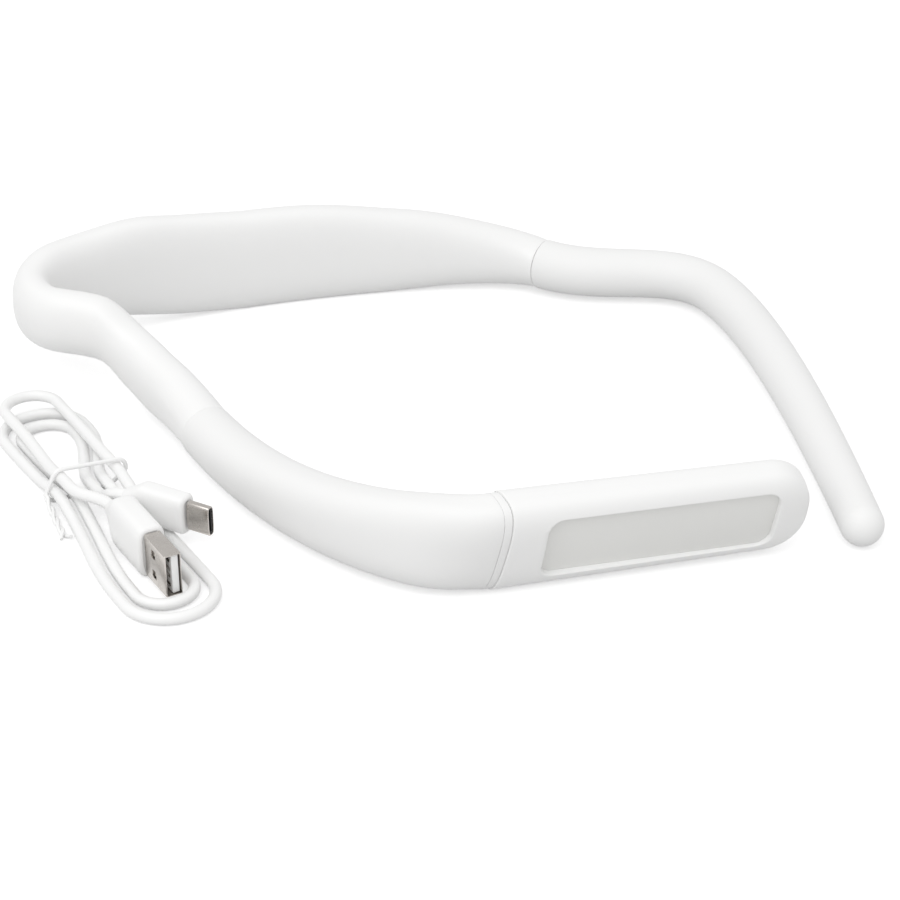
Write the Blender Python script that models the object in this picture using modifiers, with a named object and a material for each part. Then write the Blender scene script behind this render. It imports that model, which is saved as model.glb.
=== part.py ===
# Neck reading light: a curved battery housing, a lamp arm, a plain arm and a charging cable.
# Metres, +Z up. The origin is the flat on the housing's underside that it rests on.
# The wearer faces -Y; the lamp arm is on the -X side and the plain arm on the +X side.
import math

import bmesh
import bpy
import numpy as np
from mathutils import Matrix, Vector

for stale in list(bpy.data.objects):
    bpy.data.objects.remove(stale, do_unlink=True)

MM = 0.001

# Fits
FIT = 0.3 * MM  # between pieces that touch
OVERRUN = 2 * MM  # how far every cut runs past the material
EDGE = 0.4 * MM  # small rounded edges
MERGE = 0.01 * MM  # points closer than this are one point

# The light seen from above
HALF_SPAN = 72.6 * MM  # from the middle to each arm's root
BAND_DEPTH = 63 * MM  # from the arm roots back to the resting flat
LAMP_REACH = 104.2 * MM  # from the arm roots forward to the head's near end
TIP_ASIDE = 12.654227 * MM  # the plain arm's tip, from the head's end to the plain side
TIP_AHEAD = 10.840344 * MM  # and forward of it

# Housing
ROOT_RADIUS = 7.5 * MM  # round ends, where the arms leave
BAND_HALF_HEIGHT = 15.9 * MM
NECK_LIFT = 13.7 * MM  # underside of the lamp side's corner above the table
REST_CUT = 0.25 * MM  # taken off the underside as a flat
REST_FADE = 1 * MM  # lift at which nothing is taken off
WALL = 1.6 * MM
TALL_STEP = 8 * MM  # extra height at which the section is fully squared
COVER_THICKNESS = 1.2 * MM

# Arms
SLEEVE_RADIUS = 7.8 * MM
PLAIN_MID_RADIUS = 7.1 * MM
PLAIN_TIP_RADIUS = 5.8 * MM
TIP_CLEARANCE = 0.2 * MM  # under the plain arm's tip
SOCKET_WALL = 0.9 * MM
BALL_GAP = 0.4 * MM
RIM_GAP = 0.5 * MM
CORE_RADIUS = 2.5 * MM
CORE_SETBACK = 0.8 * MM  # of a core's end inside its ball
PITCH_LIMIT = math.radians(20)
YAW_LIMIT = math.radians(25)

# Lamp head
HEAD_LENGTH = 79 * MM
HEAD_HALF_HEIGHT = 14.4 * MM
HEAD_END_HALF_HEIGHT = 13.4 * MM
HEAD_HALF_THICKNESS = 7 * MM
HEAD_END_HALF_THICKNESS = 6.2 * MM
HEAD_END_RADIUS = 10 * MM
HEAD_POWER = 3  # of its sections
END_ROUNDNESS_SHARE = 0.97
END_THICKNESS_SHARE = 0.6
END_HEIGHT_SHARE = 0.3
head_station_shares = (0, 0.05, 0.1, 0.16, 0.4, 0.65, 0.873)
head_end_angles = (25, 45, 62, 76, 90)
HEAD_CENTRE_HEIGHT = 14.6 * MM
HEAD_HEADING = math.radians(55.4)  # from straight ahead towards the plain arm
HEAD_LEAN = math.radians(15)  # the top leans forward
SEAM_SLANT = math.radians(14)
SEAM_FADE = 12 * MM
COLLAR_LENGTH = 1.7 * MM
WINDOW_START = 9.5 * MM  # from each end of the head
WINDOW_LENGTH = HEAD_LENGTH - 2 * WINDOW_START
WINDOW_HEIGHT = 17 * MM
WINDOW_RISE = 0.5 * MM  # centre of the window above the head's centre line
WINDOW_CORNER = 2.3 * MM

# Fineness
SECTION_POINTS = 20
HOUSING_STATIONS = 45
BALL_SEGMENTS = 16
SCREW_SEGMENTS = 12
CAP_SEGMENTS = 20
CURVE_SAMPLES = 60
SLEEVE_STATION = 6.5 * MM
CORE_STATION = 6.5 * MM
TIP_RINGS = 5

parts = bpy.data.collections.new("neck_reading_light")
cutters = bpy.data.collections.new("cutters")
for group in (parts, cutters):
    bpy.context.scene.collection.children.link(group)


def finish(name, colour, roughness, metallic=0.0):
    """A plain Principled material."""
    look = bpy.data.materials.new(name)
    look.use_nodes = True
    shader = look.node_tree.nodes["Principled BSDF"]
    shader.inputs["Base Color"].default_value = (*colour, 1.0)
    shader.inputs["Roughness"].default_value = roughness
    shader.inputs["Metallic"].default_value = metallic
    return look


white_plastic = finish("white_plastic", (0.9, 0.9, 0.89), 0.45)
white_silicone = finish("white_silicone", (0.91, 0.91, 0.9), 0.6)
frosted_panel = finish("frosted_panel", (0.62, 0.61, 0.6), 0.5)
steel = finish("steel", (0.6, 0.6, 0.6), 0.3, 1.0)
nickel = finish("nickel", (0.62, 0.6, 0.57), 0.25, 1.0)
green_board = finish("green_board", (0.03, 0.2, 0.08), 0.5)
cell_foil = finish("cell_foil", (0.55, 0.56, 0.58), 0.4)
grey_foam = finish("grey_foam", (0.25, 0.25, 0.25), 0.9)
black_plastic = finish("black_plastic", (0.02, 0.02, 0.02), 0.4)
clear_plastic = finish("clear_plastic", (0.8, 0.85, 0.85), 0.2)
cable_white = finish("cable_white", (0.88, 0.88, 0.87), 0.5)


def add_piece(name, mesh, look=None, parent=None):
    """A node of the light, or a cutter when it has no look."""
    piece = bpy.data.objects.new(name, mesh)
    if look is None:
        cutters.objects.link(piece)
        piece.hide_render = True
        piece.display_type = "WIRE"
    else:
        parts.objects.link(piece)
        mesh.materials.append(look)
    piece.parent = parent
    return piece


def from_bmesh(name, build, look=None, parent=None):
    bmesh.ops.recalc_face_normals(build, faces=build.faces)
    mesh = bpy.data.meshes.new(name)
    build.to_mesh(mesh)
    build.free()
    return add_piece(name, mesh, look, parent)


def loft(name, rings, look=None, parent=None):
    """A skin through rings of equally many points, with flat ends."""
    build = bmesh.new()
    loops = [[build.verts.new(point) for point in ring] for ring in rings]
    for near, far in zip(loops, loops[1:]):
        for here, corner in enumerate(near):
            after = (here + 1) % len(near)
            build.faces.new((corner, near[after], far[after], far[here]))
    build.faces.new(list(reversed(loops[0])))
    build.faces.new(loops[-1])
    return from_bmesh(name, build, look, parent)


def box(name, low, high, look=None, parent=None, rounding=0.0):
    """A box between two corners, its edges rounded when a rounding is given."""
    build = bmesh.new()
    size = Vector(high) - Vector(low)
    centre = (Vector(high) + Vector(low)) / 2
    bmesh.ops.create_cube(build, size=1, matrix=Matrix.Translation(centre) @ Matrix.Diagonal((*size, 1)))
    piece = from_bmesh(name, build, look, parent)
    if rounding:
        edges = piece.modifiers.new("rounded_edges", "BEVEL")
        edges.width = rounding
        edges.segments = 2
    return piece


def turned(name, profile, look=None, parent=None, steps=16, hollow=False):
    """A profile of radius and height pairs, given from top to bottom, turned round local Z.

    A hollow profile joins up with its own start and keeps clear of the axis.
    """
    mesh = bpy.data.meshes.new(name)
    points = [(radius, 0, height) for radius, height in profile]
    lines = [(k, k + 1) for k in range(len(points) - 1)]
    if hollow:
        lines.append((len(points) - 1, 0))
    mesh.from_pydata(points, lines, [])
    piece = add_piece(name, mesh, look, parent)
    turn = piece.modifiers.new("turn", "SCREW")
    turn.steps = turn.render_steps = steps
    turn.use_merge_vertices = True
    turn.merge_threshold = MERGE
    return piece


def tube(name, points, radius, look=None, parent=None, resolution=2):
    """A round tube with flat ends along a line of points, as a closed mesh."""
    line = bpy.data.curves.new(name, "CURVE")
    line.dimensions = "3D"
    line.bevel_depth = radius
    line.bevel_resolution = resolution
    line.use_fill_caps = True
    run = line.splines.new("POLY")
    run.points.add(len(points) - 1)
    for control, point in zip(run.points, points):
        control.co = (*point, 1)
    guide = bpy.data.objects.new(name + "_line", line)
    cutters.objects.link(guide)
    bpy.context.view_layer.update()
    seen = guide.evaluated_get(bpy.context.evaluated_depsgraph_get())
    mesh = bpy.data.meshes.new_from_object(seen)
    bpy.data.objects.remove(guide, do_unlink=True)
    build = bmesh.new()
    build.from_mesh(mesh)
    bmesh.ops.remove_doubles(build, verts=build.verts, dist=MERGE)
    return from_bmesh(name, build, look, parent)


def boolean(piece, tool, operation):
    step = piece.modifiers.new(tool.name, "BOOLEAN")
    step.operation = operation
    step.object = tool
    step.solver = "EXACT"


def cut(piece, *tools):
    for tool in tools:
        boolean(piece, tool, "DIFFERENCE")


def join(piece, tool):
    boolean(piece, tool, "UNION")


def stand_on_axis(piece, place):
    """Moves a piece's origin to a place while its shape stays where it is."""
    piece.data.transform(Matrix.Translation(-place))
    piece.location = place


def through(knots, values):
    """A smooth line through values at knots that never swings past them."""
    x = np.array(knots)
    y = np.array(values)
    rise = np.diff(y) / np.diff(x)
    slope = np.zeros(len(x))
    slope[0] = rise[0]
    slope[-1] = rise[-1]
    for k in range(1, len(x) - 1):
        if rise[k - 1] * rise[k] > 0:
            slope[k] = 2 * rise[k - 1] * rise[k] / (rise[k - 1] + rise[k])

    def at(share):
        k = int(np.clip(np.searchsorted(x, share) - 1, 0, len(x) - 2))
        run = x[k + 1] - x[k]
        t = min(max((share - x[k]) / run, 0), 1)
        start = (1 + 2 * t) * (1 - t) ** 2 * y[k] + t * (1 - t) ** 2 * run * slope[k]
        end = t * t * (3 - 2 * t) * y[k + 1] + t * t * (t - 1) * run * slope[k + 1]
        return float(start + end)

    return at


def ease(share):
    """From 0 to 1 with level ends."""
    share = min(max(share, 0), 1)
    return share * share * (3 - 2 * share)


def distances_along(line):
    """How far each point of a line is from its start, walked along it."""
    return np.concatenate([[0], np.cumsum(np.linalg.norm(np.diff(line, axis=0), axis=1))])


SAME_PLACE_SHARE = 1e-9


class Track:
    """A centre line in plan, made of cubic curves end to end, with its height along it."""

    def __init__(self, curves, height):
        places = []
        ways = []
        for a, b, c, d in curves:
            for t in np.linspace(0, 1, CURVE_SAMPLES):
                near = (1 - t) ** 3 * a + 3 * t * (1 - t) ** 2 * b
                places.append(near + 3 * t * t * (1 - t) * c + t ** 3 * d)
                ways.append((1 - t) ** 2 * (b - a) + 2 * t * (1 - t) * (c - b) + t * t * (d - c))
        self.places = np.array(places)
        self.ways = np.array(ways) / np.linalg.norm(ways, axis=1)[:, None]
        walked = distances_along(self.places)
        self.length = float(walked[-1])
        # a place where two curves meet comes twice, so each share is made a little larger than the last
        self.walked = walked / self.length + np.arange(len(walked)) * SAME_PLACE_SHARE
        self.height = height

    def forward(self, share):
        way = [np.interp(share, self.walked, self.ways[:, k]) for k in (0, 1)]
        return Vector((*way, 0)).normalized()

    def out(self, share):
        """Level and square to the line, to the right of someone who walks it."""
        return self.forward(share).cross(Vector((0, 0, 1)))

    def point(self, share):
        inside = min(max(share, 0), 1)
        x, y = [float(np.interp(inside, self.walked, self.places[:, k])) for k in (0, 1)]
        beyond = (share - inside) * self.length
        return Vector((x, y, self.height(inside))) + self.forward(inside) * beyond

    def axes(self, share):
        """The place and turn of the line: X forward, Y out, Z up."""
        forward = self.forward(share)
        out = self.out(share)
        turn = Matrix((forward, -out, Vector((0, 0, 1)))).transposed().to_4x4()
        return Matrix.Translation(self.point(share)) @ turn


def section(place, forward, out, half_thickness, half_height, power, lean=0.0, slant=0.0):
    """A rounded ring of points across a line; the power squares it from an ellipse."""
    up = Vector((0, 0, 1))
    side = out * math.cos(lean) - up * math.sin(lean) + forward * math.tan(slant)
    top = up * math.cos(lean) + out * math.sin(lean)
    ring = []
    for k in range(SECTION_POINTS):
        angle = 2 * math.pi * (k + 0.5) / SECTION_POINTS
        across = math.copysign(abs(math.cos(angle)) ** (2 / power), math.cos(angle))
        upward = math.copysign(abs(math.sin(angle)) ** (2 / power), math.sin(angle))
        ring.append(place + side * across * half_thickness + top * upward * half_height)
    return ring


def in_plan(span_share, depth_share):
    """A plan point as shares of the half span, and of the band's depth behind the arm roots."""
    return np.array((span_share * HALF_SPAN, (depth_share - 1) * BAND_DEPTH))


# Housing form: its centre line, height and thickness from the lamp side to the plain side
lamp_side_shares = ((-1, 0), (-0.719, 0.865), (-1.051, 0.816), (-1.011, 1.054))
plain_side_shares = ((-1.011, 1.054), (-0.880, 1.840), (0.949, 0.473), (1, 0))
housing_curves = [[in_plan(*shares) for shares in side] for side in (lamp_side_shares, plain_side_shares)]
LAMP_ROOT = housing_curves[0][0]
PLAIN_ROOT = housing_curves[-1][-1]
height_share_at = (0.13, 0.26, 0.38, 0.52, 0.68, 0.82, 0.92)
height_shares = (0.60, 0.60, 0.76, 1.0, 0.975, 0.83, 0.635)
thickness_share_at = (0, 0.2, 0.55, 0.85, 1)
thickness_shares = (1, 0.82, 0.75, 0.88, 1)
lift_share_at = (0, 0.1, 0.15, 0.2, 0.25, 0.35, 0.45, 0.55, 0.62)
lift_shares = (0.06, 0.12, 0.40, 0.92, 1, 0.87, 0.44, 0.09, 0)
end_lift_share_at = (0.62, 0.78, 0.9, 1)
end_lift_shares = (0, 0, 0.07, 0.095)

housing_half_height = through(
    (0, *height_share_at, 1),
    [ROOT_RADIUS, *[share * BAND_HALF_HEIGHT for share in height_shares], ROOT_RADIUS],
)
housing_half_thickness = through(thickness_share_at, [share * ROOT_RADIUS for share in thickness_shares])
lamp_side_lift = through(lift_share_at, [share * NECK_LIFT for share in lift_shares])
plain_side_lift = through(end_lift_share_at, [share * NECK_LIFT for share in end_lift_shares])


def housing_underside(share):
    lift = lamp_side_lift(share) if share < end_lift_share_at[0] else plain_side_lift(share)
    return lift - REST_CUT * ease(1 - lift / REST_FADE)


def housing_centre_height(share):
    return housing_half_height(share) + housing_underside(share)


def housing_power(share):
    return 2 + min((housing_half_height(share) - ROOT_RADIUS) / TALL_STEP, 1)


housing_track = Track(housing_curves, housing_centre_height)


def housing_ring(share):
    ring = section(
        housing_track.point(share),
        housing_track.forward(share),
        housing_track.out(share),
        housing_half_thickness(share),
        housing_half_height(share),
        housing_power(share),
    )
    for point in ring:
        point.z = max(point.z, 0)
    return ring


def on_back(share, upward, inward):
    """A point of the housing's back face, so far above its centre and so far inside the face."""
    half_height = housing_half_height(share)
    power = housing_power(share)
    bulge = (1 - abs(upward / half_height) ** power) ** (1 / power)
    outward = housing_half_thickness(share) * bulge - inward
    place = housing_track.point(share) - housing_track.out(share) * outward
    place.z += upward
    return place


# Back cover and what lies under it
COVER_TO_SHARE = 0.885
COVER_HEIGHT_SHARE = 0.70
COVER_STATIONS = 14
COVER_ARC = 5


def back_slab(name, from_share, to_share, height_share, outer, inner, spread, look=None):
    """A slab that follows the housing's back face between two depths inside it."""
    rings = []
    for share in np.linspace(from_share, to_share, COVER_STATIONS):
        reach = housing_half_height(share) * height_share + spread
        levels = np.linspace(-reach, reach, COVER_ARC)
        near = [on_back(share, level, outer) for level in levels]
        far = [on_back(share, level, inner) for level in reversed(levels)]
        rings.append(near + far)
    return loft(name, rings, look)


SCREW_RADIUS = 0.8 * MM
SCREW_HEAD_RADIUS = 1.6 * MM
SCREW_HEAD_HEIGHT = 0.7 * MM
SCREW_LENGTH = 4 * MM
DRIVE_RADIUS = 0.6 * MM
DRIVE_DEPTH = 0.4 * MM


def screw(name, place, inward, parent=None):
    """A pan-head screw whose head's face lies at the place, driven inward."""
    profile = (
        (0, -DRIVE_DEPTH),
        (DRIVE_RADIUS, -DRIVE_DEPTH),
        (DRIVE_RADIUS, 0),
        (SCREW_HEAD_RADIUS, 0),
        (SCREW_HEAD_RADIUS, -SCREW_HEAD_HEIGHT),
        (SCREW_RADIUS, -SCREW_HEAD_HEIGHT),
        (SCREW_RADIUS, -SCREW_LENGTH),
        (0, -SCREW_LENGTH),
    )
    piece = turned(name, profile, steel, parent, steps=SCREW_SEGMENTS)
    piece.location = place
    piece.rotation_mode = "QUATERNION"
    piece.rotation_quaternion = (-inward).to_track_quat("Z", "Y")
    return piece


def screw_hole(name, place, inward, parent=None):
    """The counterbore and the hole that a screw goes into."""
    wide = SCREW_HEAD_RADIUS + FIT
    narrow = SCREW_RADIUS + FIT
    seat = -SCREW_HEAD_HEIGHT - FIT
    end = -SCREW_LENGTH - FIT
    profile = ((0, OVERRUN), (wide, OVERRUN), (wide, seat), (narrow, seat), (narrow, end), (0, end))
    hole = turned(name, profile, None, parent, steps=SCREW_SEGMENTS)
    hole.location = place
    hole.rotation_mode = "QUATERNION"
    hole.rotation_quaternion = (-inward).to_track_quat("Z", "Y")
    return hole


CELL_LENGTH = 33 * MM
CELL_HEIGHT = 20 * MM
CELL_THICKNESS = 4.6 * MM
PAD_THICKNESS = 0.8 * MM
PAD_INSET_SHARE = 0.125
CELLS_SHARE = 0.583  # midway between the two cells
CELL_GAP = 3.83677 * MM
COVER_BEFORE_CELLS = 9.992197 * MM  # holds its first screw
BOARD_SHARE = 0.795
BOARD_LENGTH = 24 * MM
BOARD_TOP = 5 * MM
BOARD_BOTTOM = -11.2 * MM
BOARD_THICKNESS = 1 * MM
BOARD_PLACE = 0.7 * MM  # the board's face towards the cover, inward of the centre line
PORT_WIDTH = 8.9 * MM
PORT_THICKNESS = 3.2 * MM
PORT_DEPTH = 7.3 * MM
PORT_WALL = 0.35 * MM
PORT_RECESS = 0.8 * MM
PIPE_RADIUS = 1 * MM
PIPE_RISE = 2.5 * MM
COVER_LEDGE = 1.5 * MM  # cover that overlaps the wall round the compartment
FERRULE_RADIUS = 4.3 * MM
FERRULE_LENGTH = 9 * MM
FERRULE_DEPTH = 2 * MM
ROOT_BORE_DEPTH = 14 * MM
CORE_IN_ROOT = 10.5 * MM


def along_housing(length):
    return length / housing_track.length


COVER_FROM_SHARE = CELLS_SHARE - along_housing(CELL_LENGTH + CELL_GAP / 2 + COVER_BEFORE_CELLS)


def framed(name, share):
    """An empty on the housing's centre line: X along, Y to the back, Z up."""
    frame = bpy.data.objects.new(name, None)
    parts.objects.link(frame)
    frame.matrix_world = housing_track.axes(share)
    return frame


def make_housing():
    rings = [housing_ring(share) for share in np.linspace(0, 1, HOUSING_STATIONS)]
    housing = loft("housing_body", rings, white_plastic)
    inner_floor = COVER_THICKNESS + FIT
    recess = back_slab(
        "cover_recess",
        COVER_FROM_SHARE - along_housing(FIT),
        COVER_TO_SHARE + along_housing(FIT),
        COVER_HEIGHT_SHARE,
        -OVERRUN,
        inner_floor,
        FIT,
    )
    cut(housing, recess)
    cover = back_slab(
        "back_cover",
        COVER_FROM_SHARE,
        COVER_TO_SHARE,
        COVER_HEIGHT_SHARE,
        0,
        COVER_THICKNESS,
        0,
        white_plastic,
    )
    bpy.context.view_layer.update()

    cell_step = along_housing(CELL_LENGTH + CELL_GAP) / 2
    for number, share in enumerate((CELLS_SHARE - cell_step, CELLS_SHARE + cell_step), 1):
        frame = framed("cell_frame_%d" % number, share)
        half = housing_half_thickness(share)
        room = (
            (-CELL_LENGTH / 2 - 2 * FIT, -(half - WALL), -CELL_HEIGHT / 2 - FIT),
            (CELL_LENGTH / 2 + 2 * FIT, half - COVER_THICKNESS / 2, CELL_HEIGHT / 2 + FIT),
        )
        cut(housing, box("cell_room_%d" % number, *room, parent=frame))
        floor = -(half - WALL)
        pad_low = floor + FIT
        cell_low = pad_low + PAD_THICKNESS + FIT
        inset = CELL_HEIGHT * PAD_INSET_SHARE
        box(
            "cell_pad_%d" % number,
            (-CELL_LENGTH / 2 + inset, pad_low, -CELL_HEIGHT / 2 + inset),
            (CELL_LENGTH / 2 - inset, pad_low + PAD_THICKNESS, CELL_HEIGHT / 2 - inset),
            grey_foam,
            frame,
        )
        box(
            "battery_cell_%d" % number,
            (-CELL_LENGTH / 2, cell_low, -CELL_HEIGHT / 2),
            (CELL_LENGTH / 2, cell_low + CELL_THICKNESS, CELL_HEIGHT / 2),
            cell_foil,
            frame,
            2 * EDGE,
        )

    frame = framed("board_frame", BOARD_SHARE)
    half = housing_half_thickness(BOARD_SHARE)
    back = half - COVER_THICKNESS / 2
    face = -BOARD_PLACE
    rear = face - BOARD_THICKNESS
    port_bottom = -housing_half_height(BOARD_SHARE) + PORT_RECESS
    board_room_back = face + PORT_THICKNESS + 3 * FIT
    cut(
        housing,
        box(
            "board_room",
            (-BOARD_LENGTH / 2 - FIT, rear - FIT, BOARD_BOTTOM - FIT),
            (BOARD_LENGTH / 2 + FIT, board_room_back, BOARD_TOP + FIT),
            parent=frame,
        ),
        box(
            "board_way_in",
            (-BOARD_LENGTH / 2, board_room_back - FIT, -BOARD_TOP),
            (BOARD_LENGTH / 2, back, BOARD_TOP),
            parent=frame,
        ),
        box(
            "port_mouth",
            (-PORT_WIDTH / 2 - FIT, face, port_bottom - OVERRUN),
            (PORT_WIDTH / 2 + FIT, face + PORT_THICKNESS + 2 * FIT, BOARD_BOTTOM + FIT),
            parent=frame,
            rounding=EDGE,
        ),
    )
    box(
        "control_board",
        (-BOARD_LENGTH / 2, rear, BOARD_BOTTOM),
        (BOARD_LENGTH / 2, face, BOARD_TOP),
        green_board,
        frame,
    )
    port = box(
        "usb_port_shell",
        (-PORT_WIDTH / 2, face + FIT, port_bottom),
        (PORT_WIDTH / 2, face + FIT + PORT_THICKNESS, port_bottom + PORT_DEPTH),
        nickel,
        frame,
        2 * EDGE,
    )
    cut(
        port,
        box(
            "port_hollow",
            (-PORT_WIDTH / 2 + PORT_WALL, face + FIT + PORT_WALL, port_bottom - OVERRUN),
            (
                PORT_WIDTH / 2 - PORT_WALL,
                face + FIT + PORT_THICKNESS - PORT_WALL,
                port_bottom + PORT_DEPTH - PORT_WALL,
            ),
            parent=frame,
            rounding=EDGE,
        ),
    )

    outward = -housing_track.out(BOARD_SHARE)
    pipe_face = on_back(BOARD_SHARE, PIPE_RISE, 0)
    pipe_length = half + BOARD_PLACE - FIT
    turn = outward.to_track_quat("Z", "Y")
    for name, radius, top, look in (
        ("charge_light_pipe", PIPE_RADIUS, 0, clear_plastic),
        ("pipe_hole", PIPE_RADIUS + FIT, OVERRUN, None),
    ):
        profile = ((0, top), (radius, top), (radius, -pipe_length), (0, -pipe_length))
        piece = turned(name, profile, look, steps=SCREW_SEGMENTS)
        piece.location = pipe_face
        piece.rotation_mode = "QUATERNION"
        piece.rotation_quaternion = turn
    cut(cover, bpy.data.objects["pipe_hole"])

    screw_inset = along_housing(COVER_LEDGE + 2 * SCREW_HEAD_RADIUS)
    for number, share in enumerate((COVER_FROM_SHARE + screw_inset, COVER_TO_SHARE - screw_inset), 1):
        inward = housing_track.out(share)
        place = on_back(share, 0, FIT)
        screw("cover_screw_%d" % number, place, inward)
        hole = screw_hole("cover_screw_hole_%d" % number, place, inward)
        cut(cover, hole)
        cut(housing, hole)

    for name, share, way in (("lamp", 0, 1), ("plain", 1, -1)):
        inward = housing_track.forward(share) * way
        root = housing_track.point(share)
        turn = (-inward).to_track_quat("Z", "Y")
        outer = FERRULE_RADIUS + FIT
        bore = turned(
            name + "_root_bore",
            ((0, OVERRUN), (outer, OVERRUN), (outer, -ROOT_BORE_DEPTH), (0, -ROOT_BORE_DEPTH)),
        )
        top = -FERRULE_DEPTH
        end = top - FERRULE_LENGTH
        hollow = CORE_RADIUS + FIT
        ferrule = turned(
            name + "_arm_ferrule",
            ((FERRULE_RADIUS, top), (FERRULE_RADIUS, end), (hollow, end), (hollow, top)),
            steel,
            hollow=True,
        )
        for piece in (bore, ferrule):
            piece.location = root
            piece.rotation_mode = "QUATERNION"
            piece.rotation_quaternion = turn
        cut(housing, bore)


# Arms
head_way = np.array((math.sin(HEAD_HEADING), -math.cos(HEAD_HEADING)))
HEAD_SPAN_SHARE = -0.967
HEAD_PLACE = np.array((HEAD_SPAN_SHARE * HALF_SPAN, -BAND_DEPTH - LAMP_REACH))
LAMP_ARM_END = HEAD_PLACE - head_way * (COLLAR_LENGTH + 2 * FIT)
LAMP_START_HANDLE = 47.6 * MM
LAMP_END_HANDLE = 25.1 * MM
RISE_POWER = 1.3
FLARE_POWER = 1.6
lamp_back = housing_track.forward(0)
lamp_seam = LAMP_ROOT - np.array(lamp_back.xy) * FIT
lamp_curves = (
    (
        lamp_seam,
        lamp_seam - np.array(lamp_back.xy) * LAMP_START_HANDLE,
        LAMP_ARM_END - head_way * LAMP_END_HANDLE,
        LAMP_ARM_END,
    ),
)
lamp_root_height = housing_track.point(0).z
lamp_rise = HEAD_CENTRE_HEIGHT - lamp_root_height
lamp_track = Track(lamp_curves, lambda share: lamp_root_height + lamp_rise * ease(share ** RISE_POWER))
lamp_hinge_shares = (0.15, 0.38, 0.60, 0.80)
plain_hinge_shares = (0.2, 0.4, 0.6, 0.8)


def lamp_half_height(share):
    return SLEEVE_RADIUS + (HEAD_HALF_HEIGHT - FIT - SLEEVE_RADIUS) * share ** FLARE_POWER


def lamp_half_thickness(share):
    return SLEEVE_RADIUS + (HEAD_HALF_THICKNESS - FIT - SLEEVE_RADIUS) * share ** 2


def lamp_power(share):
    return 2 + share


def lamp_lean(share):
    return HEAD_LEAN * ease((share - lamp_hinge_shares[-1]) / (1 - lamp_hinge_shares[-1]))


def lamp_slant(share):
    return SEAM_SLANT * ease(1 - (1 - share) * lamp_track.length / SEAM_FADE)


plain_way = np.array(housing_track.forward(1).xy)
plain_seam = PLAIN_ROOT + plain_way * FIT
KNEE_SPAN_SHARE = 1.277
KNEE_REACH_SHARE = 0.329
KNEE_TURN = math.radians(22.8)  # from straight ahead towards the lamp arm
TIP_TURN = math.radians(43.1)
PLAIN_TIP = HEAD_PLACE + head_way * HEAD_LENGTH + np.array((TIP_ASIDE, -TIP_AHEAD))
PLAIN_REACH = -BAND_DEPTH - PLAIN_TIP[1]
PLAIN_KNEE = np.array((KNEE_SPAN_SHARE * HALF_SPAN, -BAND_DEPTH - KNEE_REACH_SHARE * PLAIN_REACH))
knee_way = np.array((-math.sin(KNEE_TURN), -math.cos(KNEE_TURN)))
tip_way = np.array((-math.sin(TIP_TURN), -math.cos(TIP_TURN)))
PLAIN_START_HANDLE = 22.8 * MM
KNEE_IN_HANDLE = 25.5 * MM
KNEE_OUT_HANDLE = 29.5 * MM
TIP_HANDLE = 46 * MM
plain_curves = (
    (
        plain_seam,
        plain_seam + plain_way * PLAIN_START_HANDLE,
        PLAIN_KNEE - knee_way * KNEE_IN_HANDLE,
        PLAIN_KNEE,
    ),
    (
        PLAIN_KNEE,
        PLAIN_KNEE + knee_way * KNEE_OUT_HANDLE,
        PLAIN_TIP - tip_way * TIP_HANDLE,
        PLAIN_TIP,
    ),
)
plain_root_height = housing_track.point(1).z
plain_drop = plain_root_height - PLAIN_TIP_RADIUS - TIP_CLEARANCE
plain_track = Track(plain_curves, lambda share: plain_root_height - plain_drop * share)
plain_radius_share_at = (0, 0.35, 1)
plain_radius = through(plain_radius_share_at, (SLEEVE_RADIUS, PLAIN_MID_RADIUS, PLAIN_TIP_RADIUS))


class Arm:
    """What one arm's segments are made from."""

    def __init__(self, name, track, hinge_shares, half_thickness, half_height, power, lean, slant):
        self.name = name
        self.track = track
        self.hinge_shares = hinge_shares
        self.half_thickness = half_thickness
        self.half_height = half_height
        self.power = power
        self.lean = lean
        self.slant = slant

    def ring(self, share):
        return section(
            self.track.point(share),
            self.track.forward(share),
            self.track.out(share),
            self.half_thickness(share),
            self.half_height(share),
            self.power(share),
            self.lean(share),
            self.slant(share),
        )

    def is_pitch(self, hinge):
        """Hinges alternate from the root: up and down, then sideways."""
        return hinge % 2 == 0

    def ball_radii(self, hinge):
        """Half sizes of the ball along, out from and above the centre line."""
        share = self.hinge_shares[hinge]
        wall = SOCKET_WALL + BALL_GAP
        across = self.half_thickness(share) - wall
        upward = self.half_height(share) - wall
        return (upward if self.is_pitch(hinge) else across, across, upward)

    def setback(self, hinge):
        """How far the sleeve before a hinge stops short of it, for the next one's rim to swing."""
        share = self.hinge_shares[hinge]
        if self.is_pitch(hinge):
            return self.half_height(share) * math.sin(PITCH_LIMIT) + RIM_GAP
        return self.half_thickness(share) * math.sin(YAW_LIMIT) + RIM_GAP

    def ball(self, name, hinge, grow):
        """A ball round a hinge, its poles on the hinge's axis."""
        share = self.hinge_shares[hinge]
        along, across, upward = [radius + grow for radius in self.ball_radii(hinge)]
        build = bmesh.new()
        bmesh.ops.create_uvsphere(build, u_segments=BALL_SEGMENTS, v_segments=BALL_SEGMENTS // 2, radius=1)
        if self.is_pitch(hinge):
            bmesh.ops.rotate(build, verts=build.verts, matrix=Matrix.Rotation(math.radians(90), 3, "X"))
        shape = self.track.axes(share) @ Matrix.Diagonal((along, across, upward, 1))
        bmesh.ops.transform(build, verts=build.verts, matrix=shape)
        return from_bmesh(name, build)


lamp_arm = Arm(
    "lamp",
    lamp_track,
    lamp_hinge_shares,
    lamp_half_thickness,
    lamp_half_height,
    lamp_power,
    lamp_lean,
    lamp_slant,
)
plain_arm = Arm(
    "plain",
    plain_track,
    plain_hinge_shares,
    plain_radius,
    plain_radius,
    lambda share: 2,
    lambda share: 0,
    lambda share: 0,
)


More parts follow.
